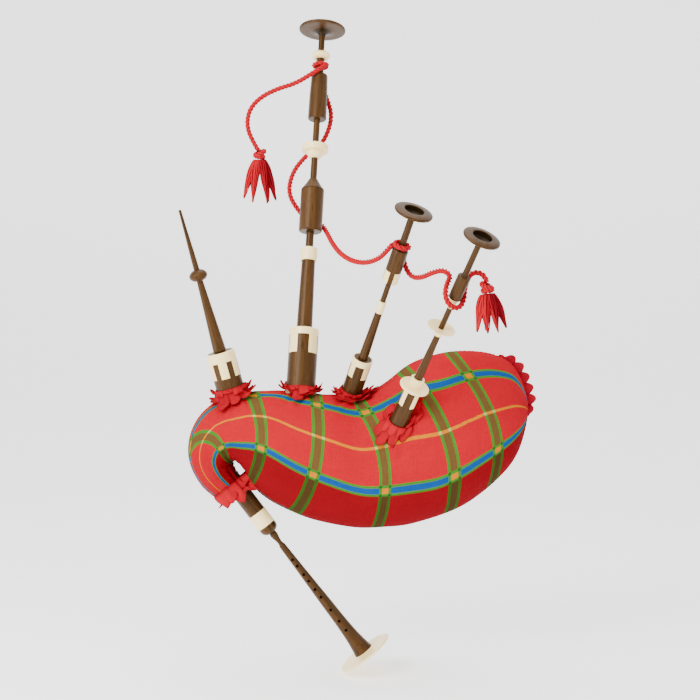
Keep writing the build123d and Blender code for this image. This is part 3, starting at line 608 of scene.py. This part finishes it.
def frill(name, pipe, petals, reach, depth, lifts, blunt, seed, phase=0.0):
    """Two layers of petals gathered round a stock. reach and lifts are in mm, one value per layer."""
    rng = random.Random(seed)
    matrix = PIPES[pipe]
    inner = STOCK_RADIUS[pipe] + 1.0
    top = BINDINGS[pipe][1] + 1.5
    steps = petals * 20
    count = 14
    layers = []
    for layer, (out, lift) in enumerate(zip(reach, lifts)):
        lengths = [1 + rng.uniform(-0.12, 0.12) for _ in range(petals)]
        twist = phase + layer * math.pi / petals
        rows = []
        shades = []
        for i in range(count):
            q = i / (count - 1)
            row = []
            for j in range(steps):
                theta = 2 * math.pi * j / steps
                lobe = (theta - twist) * petals / (2 * math.pi)
                k = int(round(lobe)) % petals
                f = abs(2 * (lobe - round(lobe)))
                edge = max(0.0, 1 - f**1.5) ** blunt
                tip = inner + (out * lengths[k] - inner) * ((1 - depth) + depth * edge)
                rho = inner + (tip - inner) * q
                x = rho * math.cos(theta)
                y = rho * math.sin(theta)
                ground = surface_height(matrix, x * MM, y * MM, -rho * 0.4 * MM) / MM
                ground = max(ground, -24 - 0.9 * (rho - inner))
                height = ground + 1.6 + 1.4 * layer
                height += lift * q**1.3 * (0.4 + 0.6 * edge) * (1 + 0.25 * math.sin(k * 2.4))
                height += 1.5 * q * (1 - f * f)
                collar = math.exp(-((rho - inner) / 4.5) ** 2)
                height += max(0.0, top + layer - height) * collar
                row.append((x, y, height))
                # painted shade near the stock, between petals and on the lower layer; the tips are also darker
                shades.append(0.7 * math.exp(-q * 5) + 0.6 * f**5 + 0.2 * (1 - layer) + 0.4 * q**7)
            rows.append(row)
        layers.append((rows, shades))
    around_stock(name, matrix, layers, f"{pipe}_frill")


def chanter_frill(name):
    """Long leaf-shaped petals round the end of the neck."""
    matrix = PIPES["chanter"]
    across = matrix.to_3x3()
    inner = STOCK_RADIUS["chanter"] + 1.5
    collar_foot = -19.0
    steps = 150
    count = 14
    # each petal: direction in degrees, then its tip's radius and height and its half width
    petals = (
        ((4, 49, 4, 34), (-62, 36, 9, 30), (-150, 47, -12, 30), (150, 34, 0, 30), (96, 36, 6, 28),
         (52, 38, 8, 28)),
        ((-146, 38, 18, 30), (-88, 27, 20, 30), (-30, 37, 12, 28), (28, 40, 10, 26), (80, 34, 13, 26),
         (132, 34, 12, 26), (180, 30, 12, 26)),
    )

    def skin(theta, height):
        """Radius of the neck's cloth at a place round the chanter's line."""
        out = Vector((math.cos(theta), math.sin(theta), 0))
        start = matrix @ ((out * 40 + Vector((0, 0, height))) * MM)
        hit = cover_tree.ray_cast(start, -(across @ out), 0.04)
        return inner if hit[0] is None else max(inner, 40 - hit[3] / MM)

    layers = []
    for layer, leaves in enumerate(petals):
        ends = []
        for j in range(steps):
            degrees = 360 * j / steps
            best = 0.0
            valley = (inner + 9 + layer, 4 * layer)
            end = valley
            for direction, radius, height, half in leaves:
                away = abs((degrees - direction + 180) % 360 - 180) / half
                if away < 1 and 1 - away**1.3 > best:
                    best = 1 - away**1.3
                    end = (valley[0] + (radius - valley[0]) * best,
                           valley[1] + (height - valley[1]) * best)
            ends.append((*end, best))
        rows = []
        shades = []
        for i in range(count):
            q = i / (count - 1)
            row = []
            for j, (radius, height, best) in enumerate(ends):
                theta = 2 * math.pi * j / steps
                foot = skin(theta, collar_foot) + 1.4 + layer
                bow = (foot + 3.0, -5.0)
                rho = foot * (1 - q) ** 2 + bow[0] * 2 * q * (1 - q) + radius * q**2
                h = (collar_foot + 2 * layer) * (1 - q) ** 2 + bow[1] * 2 * q * (1 - q) + height * q**2
                rho = max(rho, skin(theta, h) + 1.4 + layer)
                row.append((rho * math.cos(theta), rho * math.sin(theta), h))
                # painted shade near the stock, between petals and on the lower layer; the tips are also darker
                shades.append(0.55 * math.exp(-q * 6) + 0.5 * (1 - best) ** 2 * q + 0.15 * (1 - layer)
                              + 0.4 * q**7)
            rows.append(row)
        layers.append((rows, shades))
    around_stock(name, matrix, layers, "chanter_frill")


frill("bass_frill_cloth", "bass", 10, (42, 35), 0.58, (9, 15), 0.7, 3, phase=0.2)
frill("middle_frill_cloth", "middle_tenor", 8, (37, 31), 0.6, (7, 15), 0.8, 11, phase=-1.45)
frill("outer_frill_cloth", "outer_tenor", 8, (31, 23), 0.66, (3, 8), 0.6, 5, phase=0.1)
frill("blowpipe_frill_cloth", "blowpipe", 10, (45, 36), 0.58, (9, 17), 0.7, 8, phase=0.5)
chanter_frill("chanter_frill_cloth")


def rear_trim():
    """Scalloped strip sewn into the seam over the bag's back end."""
    t = np.linspace(0, 112, 80)
    x, z, high, _, _ = section_at(t).T
    line = np.stack([x, z + high], axis=-1)
    line = np.concatenate([[(x[0], z[0] - high[0])], line])
    runs = np.concatenate([[0], np.cumsum(np.linalg.norm(np.diff(line, axis=0), axis=1))])
    count = 170
    at = np.linspace(0, runs[-1], count)
    base = np.stack([np.interp(at, runs, line[:, 0]), np.interp(at, runs, line[:, 1])], axis=-1)
    tangent = np.gradient(base, axis=0)
    for _ in range(14):
        tangent[1:-1] = (tangent[:-2] + tangent[1:-1] * 2 + tangent[2:]) / 4
    out = np.stack([-tangent[:, 1], tangent[:, 0]], axis=-1)
    out /= np.linalg.norm(out, axis=1, keepdims=True)
    if out[0, 0] < 0:
        out = -out
    scallops = 6.5
    rows = 8
    points = []
    shade = []
    for i in range(rows):
        q = i / (rows - 1)
        for j in range(count):
            lobe = scallops * j / (count - 1)
            f = lobe - math.floor(lobe) - 0.5
            edge = max(0.0, 1 - abs(2 * f) ** 1.6) ** 0.7
            taper = min(1.0, 4 * j / count + 0.25, 4 * (count - 1 - j) / count + 0.2)
            tall = -3 + q * (3 + (6 + 10 * edge) * taper)
            px, pz = base[j] + out[j] * tall
            py = 2.6 * q * math.sin(2 * math.pi * lobe) + 0.8 * math.sin(5.1 * lobe)
            points.append((px * MM, py * MM, pz * MM))
            # painted shade along the sewn edge and between the scallops
            shade.append(0.6 * math.exp(-q * 4) + 0.5 * abs(2 * f) ** 6)
    obj = make_object("rear_trim_cloth", points, grid_faces(rows, count, False), TRIM,
                      {"depth": np.clip(shade, 0, 0.85)})
    thicken(obj, TRIM_CLOTH)
    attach(obj, "root")
    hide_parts("cover_rear_frill")


rear_trim()

# ---------------------------------------------------------------- thread windings


def winding(name, pipe, body, bands, pitch, material, replaces):
    """Close turns of thread round a pipe. Each band is (inner radius, outer radius, low, high) in mm."""
    around = 48
    points = []
    faces = []
    shade = []
    for inner, outer, low, high in bands:
        start = len(points)
        count = max(8, int((high - low) / pitch * 6))
        # the third value is painted shade: full where the band's ends meet the pipe, and between the turns
        profile = [(inner, low, 1.0)]
        for i in range(count + 1):
            h = low + (high - low) * i / count
            ridge = abs(math.sin(math.pi * (h - low) / pitch))
            profile.append((outer - 0.28 * pitch * (1 - ridge), h, 0.8 * (1 - ridge)))
        profile.append((inner, high, 1.0))
        for radius, h, dark in profile:
            for j in range(around):
                a = 2 * math.pi * j / around
                points.append(PIPES[pipe] @ (Vector((radius * math.cos(a), radius * math.sin(a), h)) * MM))
                shade.append(dark)
        rows = len(profile)
        faces += grid_faces(rows, around, True, start)
        last = start + (rows - 1) * around
        for j in range(around):
            k = (j + 1) % around
            faces.append((last + j, last + k, start + k, start + j))
    obj = make_object(name, points, faces, material, {"depth": shade})
    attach(obj, body)
    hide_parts(replaces)


for pipe, (low, high) in BINDINGS.items():
    inner = STOCK_RADIUS[pipe] + 0.3
    winding(f"{pipe}_binding", pipe, "root", [(inner, inner + 2.2, low, high)], 1.8, TWINE,
            "stock_bindings")

for name, pipe, body, bands in (
    ("bass_bottom", "bass", "bass_bottom", [(9.05, 10.35, 62, 90), (5.95, 6.8, 288, 318)]),
    ("bass_middle", "bass", "bass_middle", [(4.95, 5.72, 497, 520)]),
    ("middle_tenor", "middle_tenor", "middle_tenor_bottom", [(6.05, 6.9, 30, 52), (3.95, 4.62, 218, 238)]),
    ("outer_tenor", "outer_tenor", "outer_tenor_bottom", [(5.85, 6.7, 48, 72), (3.95, 4.62, 244, 262)]),
    ("blowpipe", "blowpipe", "blowpipe", [(8.15, 9.2, 32, 56)]),
    ("chanter", "chanter", "chanter", [(5.35, 6.15, 58, 80)]),
):
    winding(f"{name}_thread", pipe, body, bands, 1.0, HEMP, f"{name}_hemp")

# ---------------------------------------------------------------- cord

# Radius over the crests of the strands, and the cord's own thickness
CORD_R = 0.0046
KNOT_CORD_R = 0.0047
WHIPPING_R = 0.0017
WHIPPING_LAY = 0.008
STRANDS = 3
LAY = 0.021


def route_points(control, spacing=0.0016):
    """Evenly spaced points along a smooth route, a NURBS curve with these control points."""
    data = bpy.data.curves.new("route", "CURVE")
    data.dimensions = "3D"
    spline = data.splines.new("NURBS")
    spline.points.add(len(control) - 1)
    for point, co in zip(spline.points, control):
        point.co = (*co, 1.0)
    spline.order_u = 3
    spline.use_endpoint_u = True
    data.resolution_u = 24
    holder = bpy.data.objects.new("route", data)
    scene.collection.objects.link(holder)
    bpy.context.view_layer.update()
    mesh = bpy.data.meshes.new_from_object(holder.evaluated_get(bpy.context.evaluated_depsgraph_get()))
    raw = np.array([v.co for v in mesh.vertices], dtype=float)
    bpy.data.objects.remove(holder)
    bpy.data.meshes.remove(mesh)
    keep = np.concatenate([[True], np.linalg.norm(np.diff(raw, axis=0), axis=1) > 1e-7])
    raw = raw[keep]
    runs = np.concatenate([[0], np.cumsum(np.linalg.norm(np.diff(raw, axis=0), axis=1))])
    at = np.linspace(0, runs[-1], max(8, int(runs[-1] / spacing)) + 1)
    return np.stack([np.interp(at, runs, raw[:, k]) for k in range(3)], axis=-1), runs[-1]


def strand_outline(angle):
    """Outer edge of the twisted strands at an angle round the cord.

    Returns it as a share of the cord's radius, and the place across its strand.
    """
    size = 0.49
    off = 1 - size
    best = 0.0
    across = 0.0
    for k in range(STRANDS):
        d = (angle - 2 * math.pi * k / STRANDS + math.pi) % (2 * math.pi) - math.pi
        inside = size**2 - (off * math.sin(d)) ** 2
        if inside >= 0 and math.cos(d) > 0:
            r = off * math.cos(d) + math.sqrt(inside)
            if r > best:
                best = r
                across = math.atan2(r * math.sin(d), r * math.cos(d) - off)
    return best, across


def rope_mesh(name, path, radius, phase=0.0, normal=None, closed=False, lay=LAY):
    """Twisted cord along a path. Returns the object, its end phase and its end normal."""
    around = 27
    path = [Vector(p) for p in path]
    count = len(path)
    points = []
    groove_shade = []
    strand = []
    along = []
    travelled = 0.0
    total = sum((b - a).length for a, b in zip(path, path[1:]))
    if closed:
        total += (path[0] - path[-1]).length
        lay = total / max(1, round(total / lay))
    first_tangent = (path[1] - path[0]).normalized()
    n = Vector(normal) if normal is not None else first_tangent.orthogonal()
    n = (n - first_tangent * n.dot(first_tangent)).normalized()
    outline = [strand_outline(2 * math.pi * j / around) for j in range(around)]
    for i, p in enumerate(path):
        if closed:
            tangent = (path[(i + 1) % count] - path[i - 1]).normalized()
        else:
            tangent = (path[min(i + 1, count - 1)] - path[max(i - 1, 0)]).normalized()
        n = (n - tangent * n.dot(tangent)).normalized()
        side = tangent.cross(n)
        turn = phase + 2 * math.pi * travelled / lay
        for j in range(around):
            share, across = outline[j]
            a = 2 * math.pi * j / around + turn
            points.append(p + (n * math.cos(a) + side * math.sin(a)) * radius * share)
            # painted shade where the strands dip into their grooves
            groove_shade.append(max(0.0, (0.8 - share) * 1.7))
            strand.append(across / math.pi)
            along.append(travelled / MM)
        if i < count - 1:
            travelled += (path[i + 1] - p).length
    faces = []
    for i in range(count if closed else count - 1):
        for j in range(around):
            k = (j + 1) % around
            a = i * around
            b = (i + 1) % count * around
            faces.append((a + j, a + k, b + k, b + j))
    if not closed:
        for i, flip in ((0, True), (count - 1, False)):
            centre = len(points)
            points.append(path[i])
            # the middle of each cut end is darkened the same way
            groove_shade.append(0.6)
            strand.append(0.0)
            along.append(0.0)
            faces += cap_faces(list(range(i * around, (i + 1) * around)), centre, flip)
    obj = make_object(name, points, faces, CORD, {"depth": groove_shade, "strand": strand, "along": along})
    return obj, phase + 2 * math.pi * travelled / lay, n


def metres(points):
    return [Vector(p) * MM for p in points]


# control points of each cord, as in the CAD
BASS_TO_MIDDLE = metres([
    (-71, 196, 671), (-70, 199, 650), (-63, 190, 628), (-56, 180, 609), (-50, 173, 587),
    (-53, 168, 564), (-65, 170, 537), (-82, 173, 521), (-96, 168, 512), (-117, 154, 486),
    (-126, 144, 457), (-123, 138, 437), (-113, 133, 420), (-100, 130, 404), (-85, 127, 395),
    (-67, 117, 389), (-57, 92, 374), (-49, 64, 358), (-39, 34, 344), (-28, 4, 334),
    (-13, -32, 326), (8, -65, 323), (29, -96, 330), (42, -116, 343), (51, -126, 354),
])
MIDDLE_TO_OUTER = metres([
    (69, -114, 359), (67, -103, 347), (70, -97, 329), (75, -99, 312), (85, -110, 300),
    (99, -132, 301), (113, -155, 309), (130, -174, 314), (142, -187, 305), (134, -201, 291),
    (131, -211, 276), (135, -213, 263), (145, -209, 254), (156, -202, 256), (162, -194, 268),
    (163, -190, 283), (166, -195, 297), (171, -203, 308), (181, -210, 311), (192, -213, 306),
    (196, -214, 295),
])
LEFT_TAIL = metres([
    (-59, 181, 676), (-62, 166, 671), (-74, 158, 664), (-90, 158, 654), (-115, 163, 640),
    (-148, 168, 631), (-178, 170, 616), (-197, 168, 595), (-202, 167, 568), (-195, 166, 544),
    (-181, 166, 521),
])
LEFT_KNOT = Vector((-179, 166, 512)) * MM
RIGHT_KNOT = Vector((196, -214, 284)) * MM
behind = (BASS_TO_MIDDLE[13] + BASS_TO_MIDDLE[14]) / 2
midspan = (BASS_TO_MIDDLE[19] + BASS_TO_MIDDLE[20]) / 2
between = (MIDDLE_TO_OUTER[5] + MIDDLE_TO_OUTER[6]) / 2


def cord_piece(name, control, node, bodies, phase=0.0, normal=None):
    """One stretch of the cord. With two bodies its transform is baked into the mesh and it is attached to
    neither; with one it rides that body.
    """
    path, length = route_points(control)
    obj, phase, normal = rope_mesh(name, path, CORD_R, phase, normal)
    if len(bodies) == 2:
        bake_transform(obj)
    else:
        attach(obj, bodies[0])
    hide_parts(node)
    return phase, normal


def turn_of_cord(name, pipe, body, height, ring_radius):
    """Closed turn of cord round a pipe."""
    path = []
    steps = 48
    for k in range(steps):
        a = 2 * math.pi * k / steps
        path.append(PIPES[pipe] @ (Vector((ring_radius * math.cos(a), ring_radius * math.sin(a), height)) * MM))
    obj, _, _ = rope_mesh(name, path, CORD_R, closed=True)
    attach(obj, body)


phase, normal = cord_piece("cord_bass_run_rope", BASS_TO_MIDDLE[:14] + [behind], "cord_bass_run",
                           ("bass_top", "bass_middle"))
phase, normal = cord_piece("cord_bass_span_rope", [behind] + BASS_TO_MIDDLE[14:20] + [midspan], "cord_bass_span",
                           ("bass_middle", "root"), phase, normal)
cord_piece("cord_middle_span_rope", [midspan] + BASS_TO_MIDDLE[20:], "cord_middle_span",
           ("root", "middle_tenor_top"), phase, normal)
phase, normal = cord_piece("cord_tenor_span_rope", MIDDLE_TO_OUTER[:6] + [between], "cord_tenor_span",
                           ("middle_tenor_top", "root"))
turn_of_cord("cord_bass_turn_rope", "bass", "bass_top", 589, 11.0)
turn_of_cord("cord_middle_turn_rope", "middle_tenor", "middle_tenor_top", 283, 11.2)

# ---------------------------------------------------------------- tassels

YARNS_IN_LOCK = 34
GOLDEN_ANGLE = 2.39996
RIGHT_LEAN = -0.12


def knot_turns(name, centre, body, turns):
    """The cord's end tied off in close turns, each (radius, height, tilt across, tilt back) in mm and degrees."""
    pieces = []
    steps = 60
    for number, (radius, height, across, back) in enumerate(turns):
        tilt = Matrix.Rotation(math.radians(across), 3, "Y") @ Matrix.Rotation(math.radians(back), 3, "X")
        path = []
        for k in range(steps):
            a = 2 * math.pi * k / steps
            point = tilt @ Vector((radius * math.cos(a), radius * math.sin(a), 0))
            path.append(centre + (point + Vector((0, 0, height))) * MM)
        obj, _, _ = rope_mesh(f"{name}_{number + 1}", path, KNOT_CORD_R, closed=True)
        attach(obj, body)
        pieces.append(obj)
    return pieces


def tassel(name, knot, body, node, locks, seed, lean=0.0):
    """Skirt of yarn in pointed locks. Each lock is (x, y, drop) of its tip from the knot, in mm."""
    rng = random.Random(seed)
    points = []
    faces = []
    tones = []
    sides = 6
    segments = 12
    leaning = Matrix.Rotation(lean, 3, "Y")
    for number, (tip_x, tip_y, drop) in enumerate(locks):
        heading = math.atan2(tip_y, tip_x)
        for k in range(YARNS_IN_LOCK):
            ring = math.sqrt((k + 0.5) / YARNS_IN_LOCK)
            spin = GOLDEN_ANGLE * k
            start = Vector((4.5 * math.cos(heading) + 3.5 * ring * math.cos(spin),
                            4.0 * math.sin(heading) + 3.5 * ring * math.sin(spin), -7))
            tip = Vector((tip_x, tip_y, -drop))
            tip += Vector((rng.uniform(-1, 1), rng.uniform(-1, 1), rng.uniform(0, 5)))
            tone = min(1.0, max(0.0, 0.5 + 0.5 * math.sin(spin + number) + rng.uniform(-0.25, 0.25)))
            thick = rng.uniform(0.85, 1.15)
            wave = rng.uniform(0, 6.28)
            base = len(points)
            previous = None
            for i in range(segments + 1):
                q = i / segments
                spread = 5.6 * ring * math.sin(math.pi * min(1.0, 0.12 + 0.88 * q) ** 0.8)
                flare = q ** 0.75
                centre = Vector((start.x + (tip.x - start.x) * flare, start.y + (tip.y - start.y) * flare,
                                 start.z + (tip.z - start.z) * q))
                centre += Vector((math.cos(spin), math.sin(spin), 0)) * spread
                centre += Vector((0.5 * math.sin(7 * q + wave), 0.5 * math.cos(6 * q + wave), 0))
                tangent = (tip - start if previous is None else centre - previous).normalized()
                previous = centre
                n = tangent.orthogonal().normalized()
                side = tangent.cross(n)
                radius = 1.15 * thick * (1 - 0.55 * q**2)
                for j in range(sides):
                    a = 2 * math.pi * j / sides
                    local = centre + (n * math.cos(a) + side * math.sin(a)) * radius
                    points.append(knot + (leaning @ local) * MM)
                    tones.append(tone)
            faces += grid_faces(segments + 1, sides, True, base)
            for i, flip in ((0, True), (segments, False)):
                ring_ids = [base + i * sides + j for j in range(sides)]
                centre_id = len(points)
                middle = sum((Vector(points[r]) for r in ring_ids), Vector()) / sides
                points.append(middle)
                tones.append(tone)
                faces += cap_faces(ring_ids, centre_id, flip)
    obj = make_object(name, points, faces, YARN, {"tone": tones})
    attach(obj, body)
    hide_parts(node)
    return obj


def whipping(name, knot, body, radius, low, high, lean):
    """Turns of thread that hold the tassel's skirt under its knot."""
    turns = 3
    steps = 30
    path = []
    leaning = Matrix.Rotation(lean, 3, "Y")
    for k in range(turns * steps + 1):
        a = 2 * math.pi * k / steps
        h = low + (high - low) * k / (turns * steps)
        path.append(knot + leaning @ (Vector((radius * math.cos(a), radius * math.sin(a), h)) * MM))
    obj, _, _ = rope_mesh(name, path, WHIPPING_R, lay=WHIPPING_LAY)
    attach(obj, body)
    return obj


left_skirt = tassel("left_tassel_yarn", LEFT_KNOT, "bass_top", "left_tassel", [
    (-28, -3, 76), (-12, -11, 84), (14, -11, 86), (29, -3, 80), (-13, 10, 80), (15, 10, 82),
], 2)
left_knot = knot_turns("left_knot_rope", LEFT_KNOT, "bass_top", ((6.4, -1.5, 10, 4), (8.8, 4.5, -24, 14)))
left_whip = whipping("left_whipping_thread", LEFT_KNOT, "bass_top", 8.2, -16, -8, 0.0)
right_skirt = tassel("right_tassel_yarn", RIGHT_KNOT, "outer_tenor_top", "right_tassel", [
    (-23, -4, 64), (-7, -11, 68), (9, -11, 68), (23, -3, 63), (-8, 9, 64), (10, 9, 64),
], 4, RIGHT_LEAN)
right_knot = knot_turns("right_knot_rope", RIGHT_KNOT, "outer_tenor_top",
                        ((6.0, -1.5, -8, 4), (8.4, 4.5, 26, 14)))
right_whip = whipping("right_whipping_thread", RIGHT_KNOT, "outer_tenor_top", 7.6, -15, -8, RIGHT_LEAN)

cord_piece("cord_left_tail_rope", LEFT_TAIL, "cord_left_tail", ("bass_top",))
cord_piece("cord_outer_loop_rope", [between] + MIDDLE_TO_OUTER[6:], "cord_outer_loop",
           ("root", "outer_tenor_top"), phase, normal)

# ---------------------------------------------------------------- wood, ivory and the rest of the CAD nodes

IVORY_NODES = {
    "bass_stock_ferrule", "middle_tenor_stock_ferrule", "outer_tenor_stock_mount", "blowpipe_stock_ferrule",
    "chanter_stock_band", "bass_bottom_ring", "bass_middle_mount", "bass_neck_ring", "middle_tenor_pin_ring",
    "middle_tenor_top_inlays", "outer_tenor_saucer", "outer_tenor_top_ring", "chanter_sole",
}


def finish_for(node):
    """Material of a CAD node that stays showing. The valve's pieces belong with the blowpipe."""
    pipe = next((p for p in PIPES if node.startswith(p)), "blowpipe")
    if node.endswith("_reed"):
        return CANE
    if node == "valve_flap":
        return LEATHER
    if node in IVORY_NODES:
        return IVORIES[pipe]
    if node.endswith("_bell"):
        return BELL_WOODS[pipe]
    return WOODS[pipe]


for node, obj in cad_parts.items():
    if not obj.hide_render:
        for material_slot in obj.material_slots:
            material_slot.link = "OBJECT"
            material_slot.material = finish_for(node)

# ---------------------------------------------------------------- floor, backdrop and light


def studio():
    """Pale floor that curves up into a backdrop."""
    floor_z = -0.385
    half_width = 7
    wall_top = 5.5
    steps = 16
    bend_start = 3.3
    bend = 1.2
    profile = [(-half_width, floor_z), (bend_start, floor_z)]
    for k in range(1, steps + 1):
        a = math.pi / 2 * k / steps
        profile.append((bend_start + bend * math.sin(a), floor_z + bend * (1 - math.cos(a))))
    profile.append((bend_start + bend, wall_top))
    points = []
    for y, z in profile:
        points += [(-half_width, y, z), (half_width, y, z)]
    g = Graph("studio_paper")
    tone = g.noise(g.object_coords(), 300.0, 3.0)
    paper = g.mix(g.fit(tone, 0.3, 0.7, 0.0, 1.0), srgb(250, 250, 250), srgb(244, 244, 244))
    g.set(Base_Color=paper, Roughness=0.95, Emission_Color=(1.0, 1.0, 1.0, 1.0), Emission_Strength=0.7)
    floor = make_object("studio_floor", points, grid_faces(len(profile), 2, False), g.material)


studio()


def area_light(name, location, target, size, power, colour=(1, 1, 1)):
    data = bpy.data.lights.new(name, "AREA")
    data.shape = "RECTANGLE"
    data.size, data.size_y = size
    data.energy = power
    data.color = colour
    light = bpy.data.objects.new(name, data)
    scene.collection.objects.link(light)
    light.location = location
    light.rotation_euler = (Vector(target) - Vector(location)).to_track_quat("-Z", "Y").to_euler()


area_light("key", (-1.5, -2.2, 1.9), (0, 0, 0.15), (1.2, 1.2), 88)
area_light("left_strip", (-1.5, -0.9, 0.5), (-0.05, 0, 0.3), (0.25, 2.0), 26)
area_light("fill", (2.2, -1.8, 0.8), (0, 0, 0.1), (1.6, 1.6), 20)
area_light("top", (0, 0.2, 2.4), (0, 0, 0), (2.0, 1.6), 38)

world = bpy.data.worlds.new("studio")
world.use_nodes = True
world.node_tree.nodes["Background"].inputs["Color"].default_value = (1, 1, 1, 1)
world.node_tree.nodes["Background"].inputs["Strength"].default_value = 1.35
scene.world = world
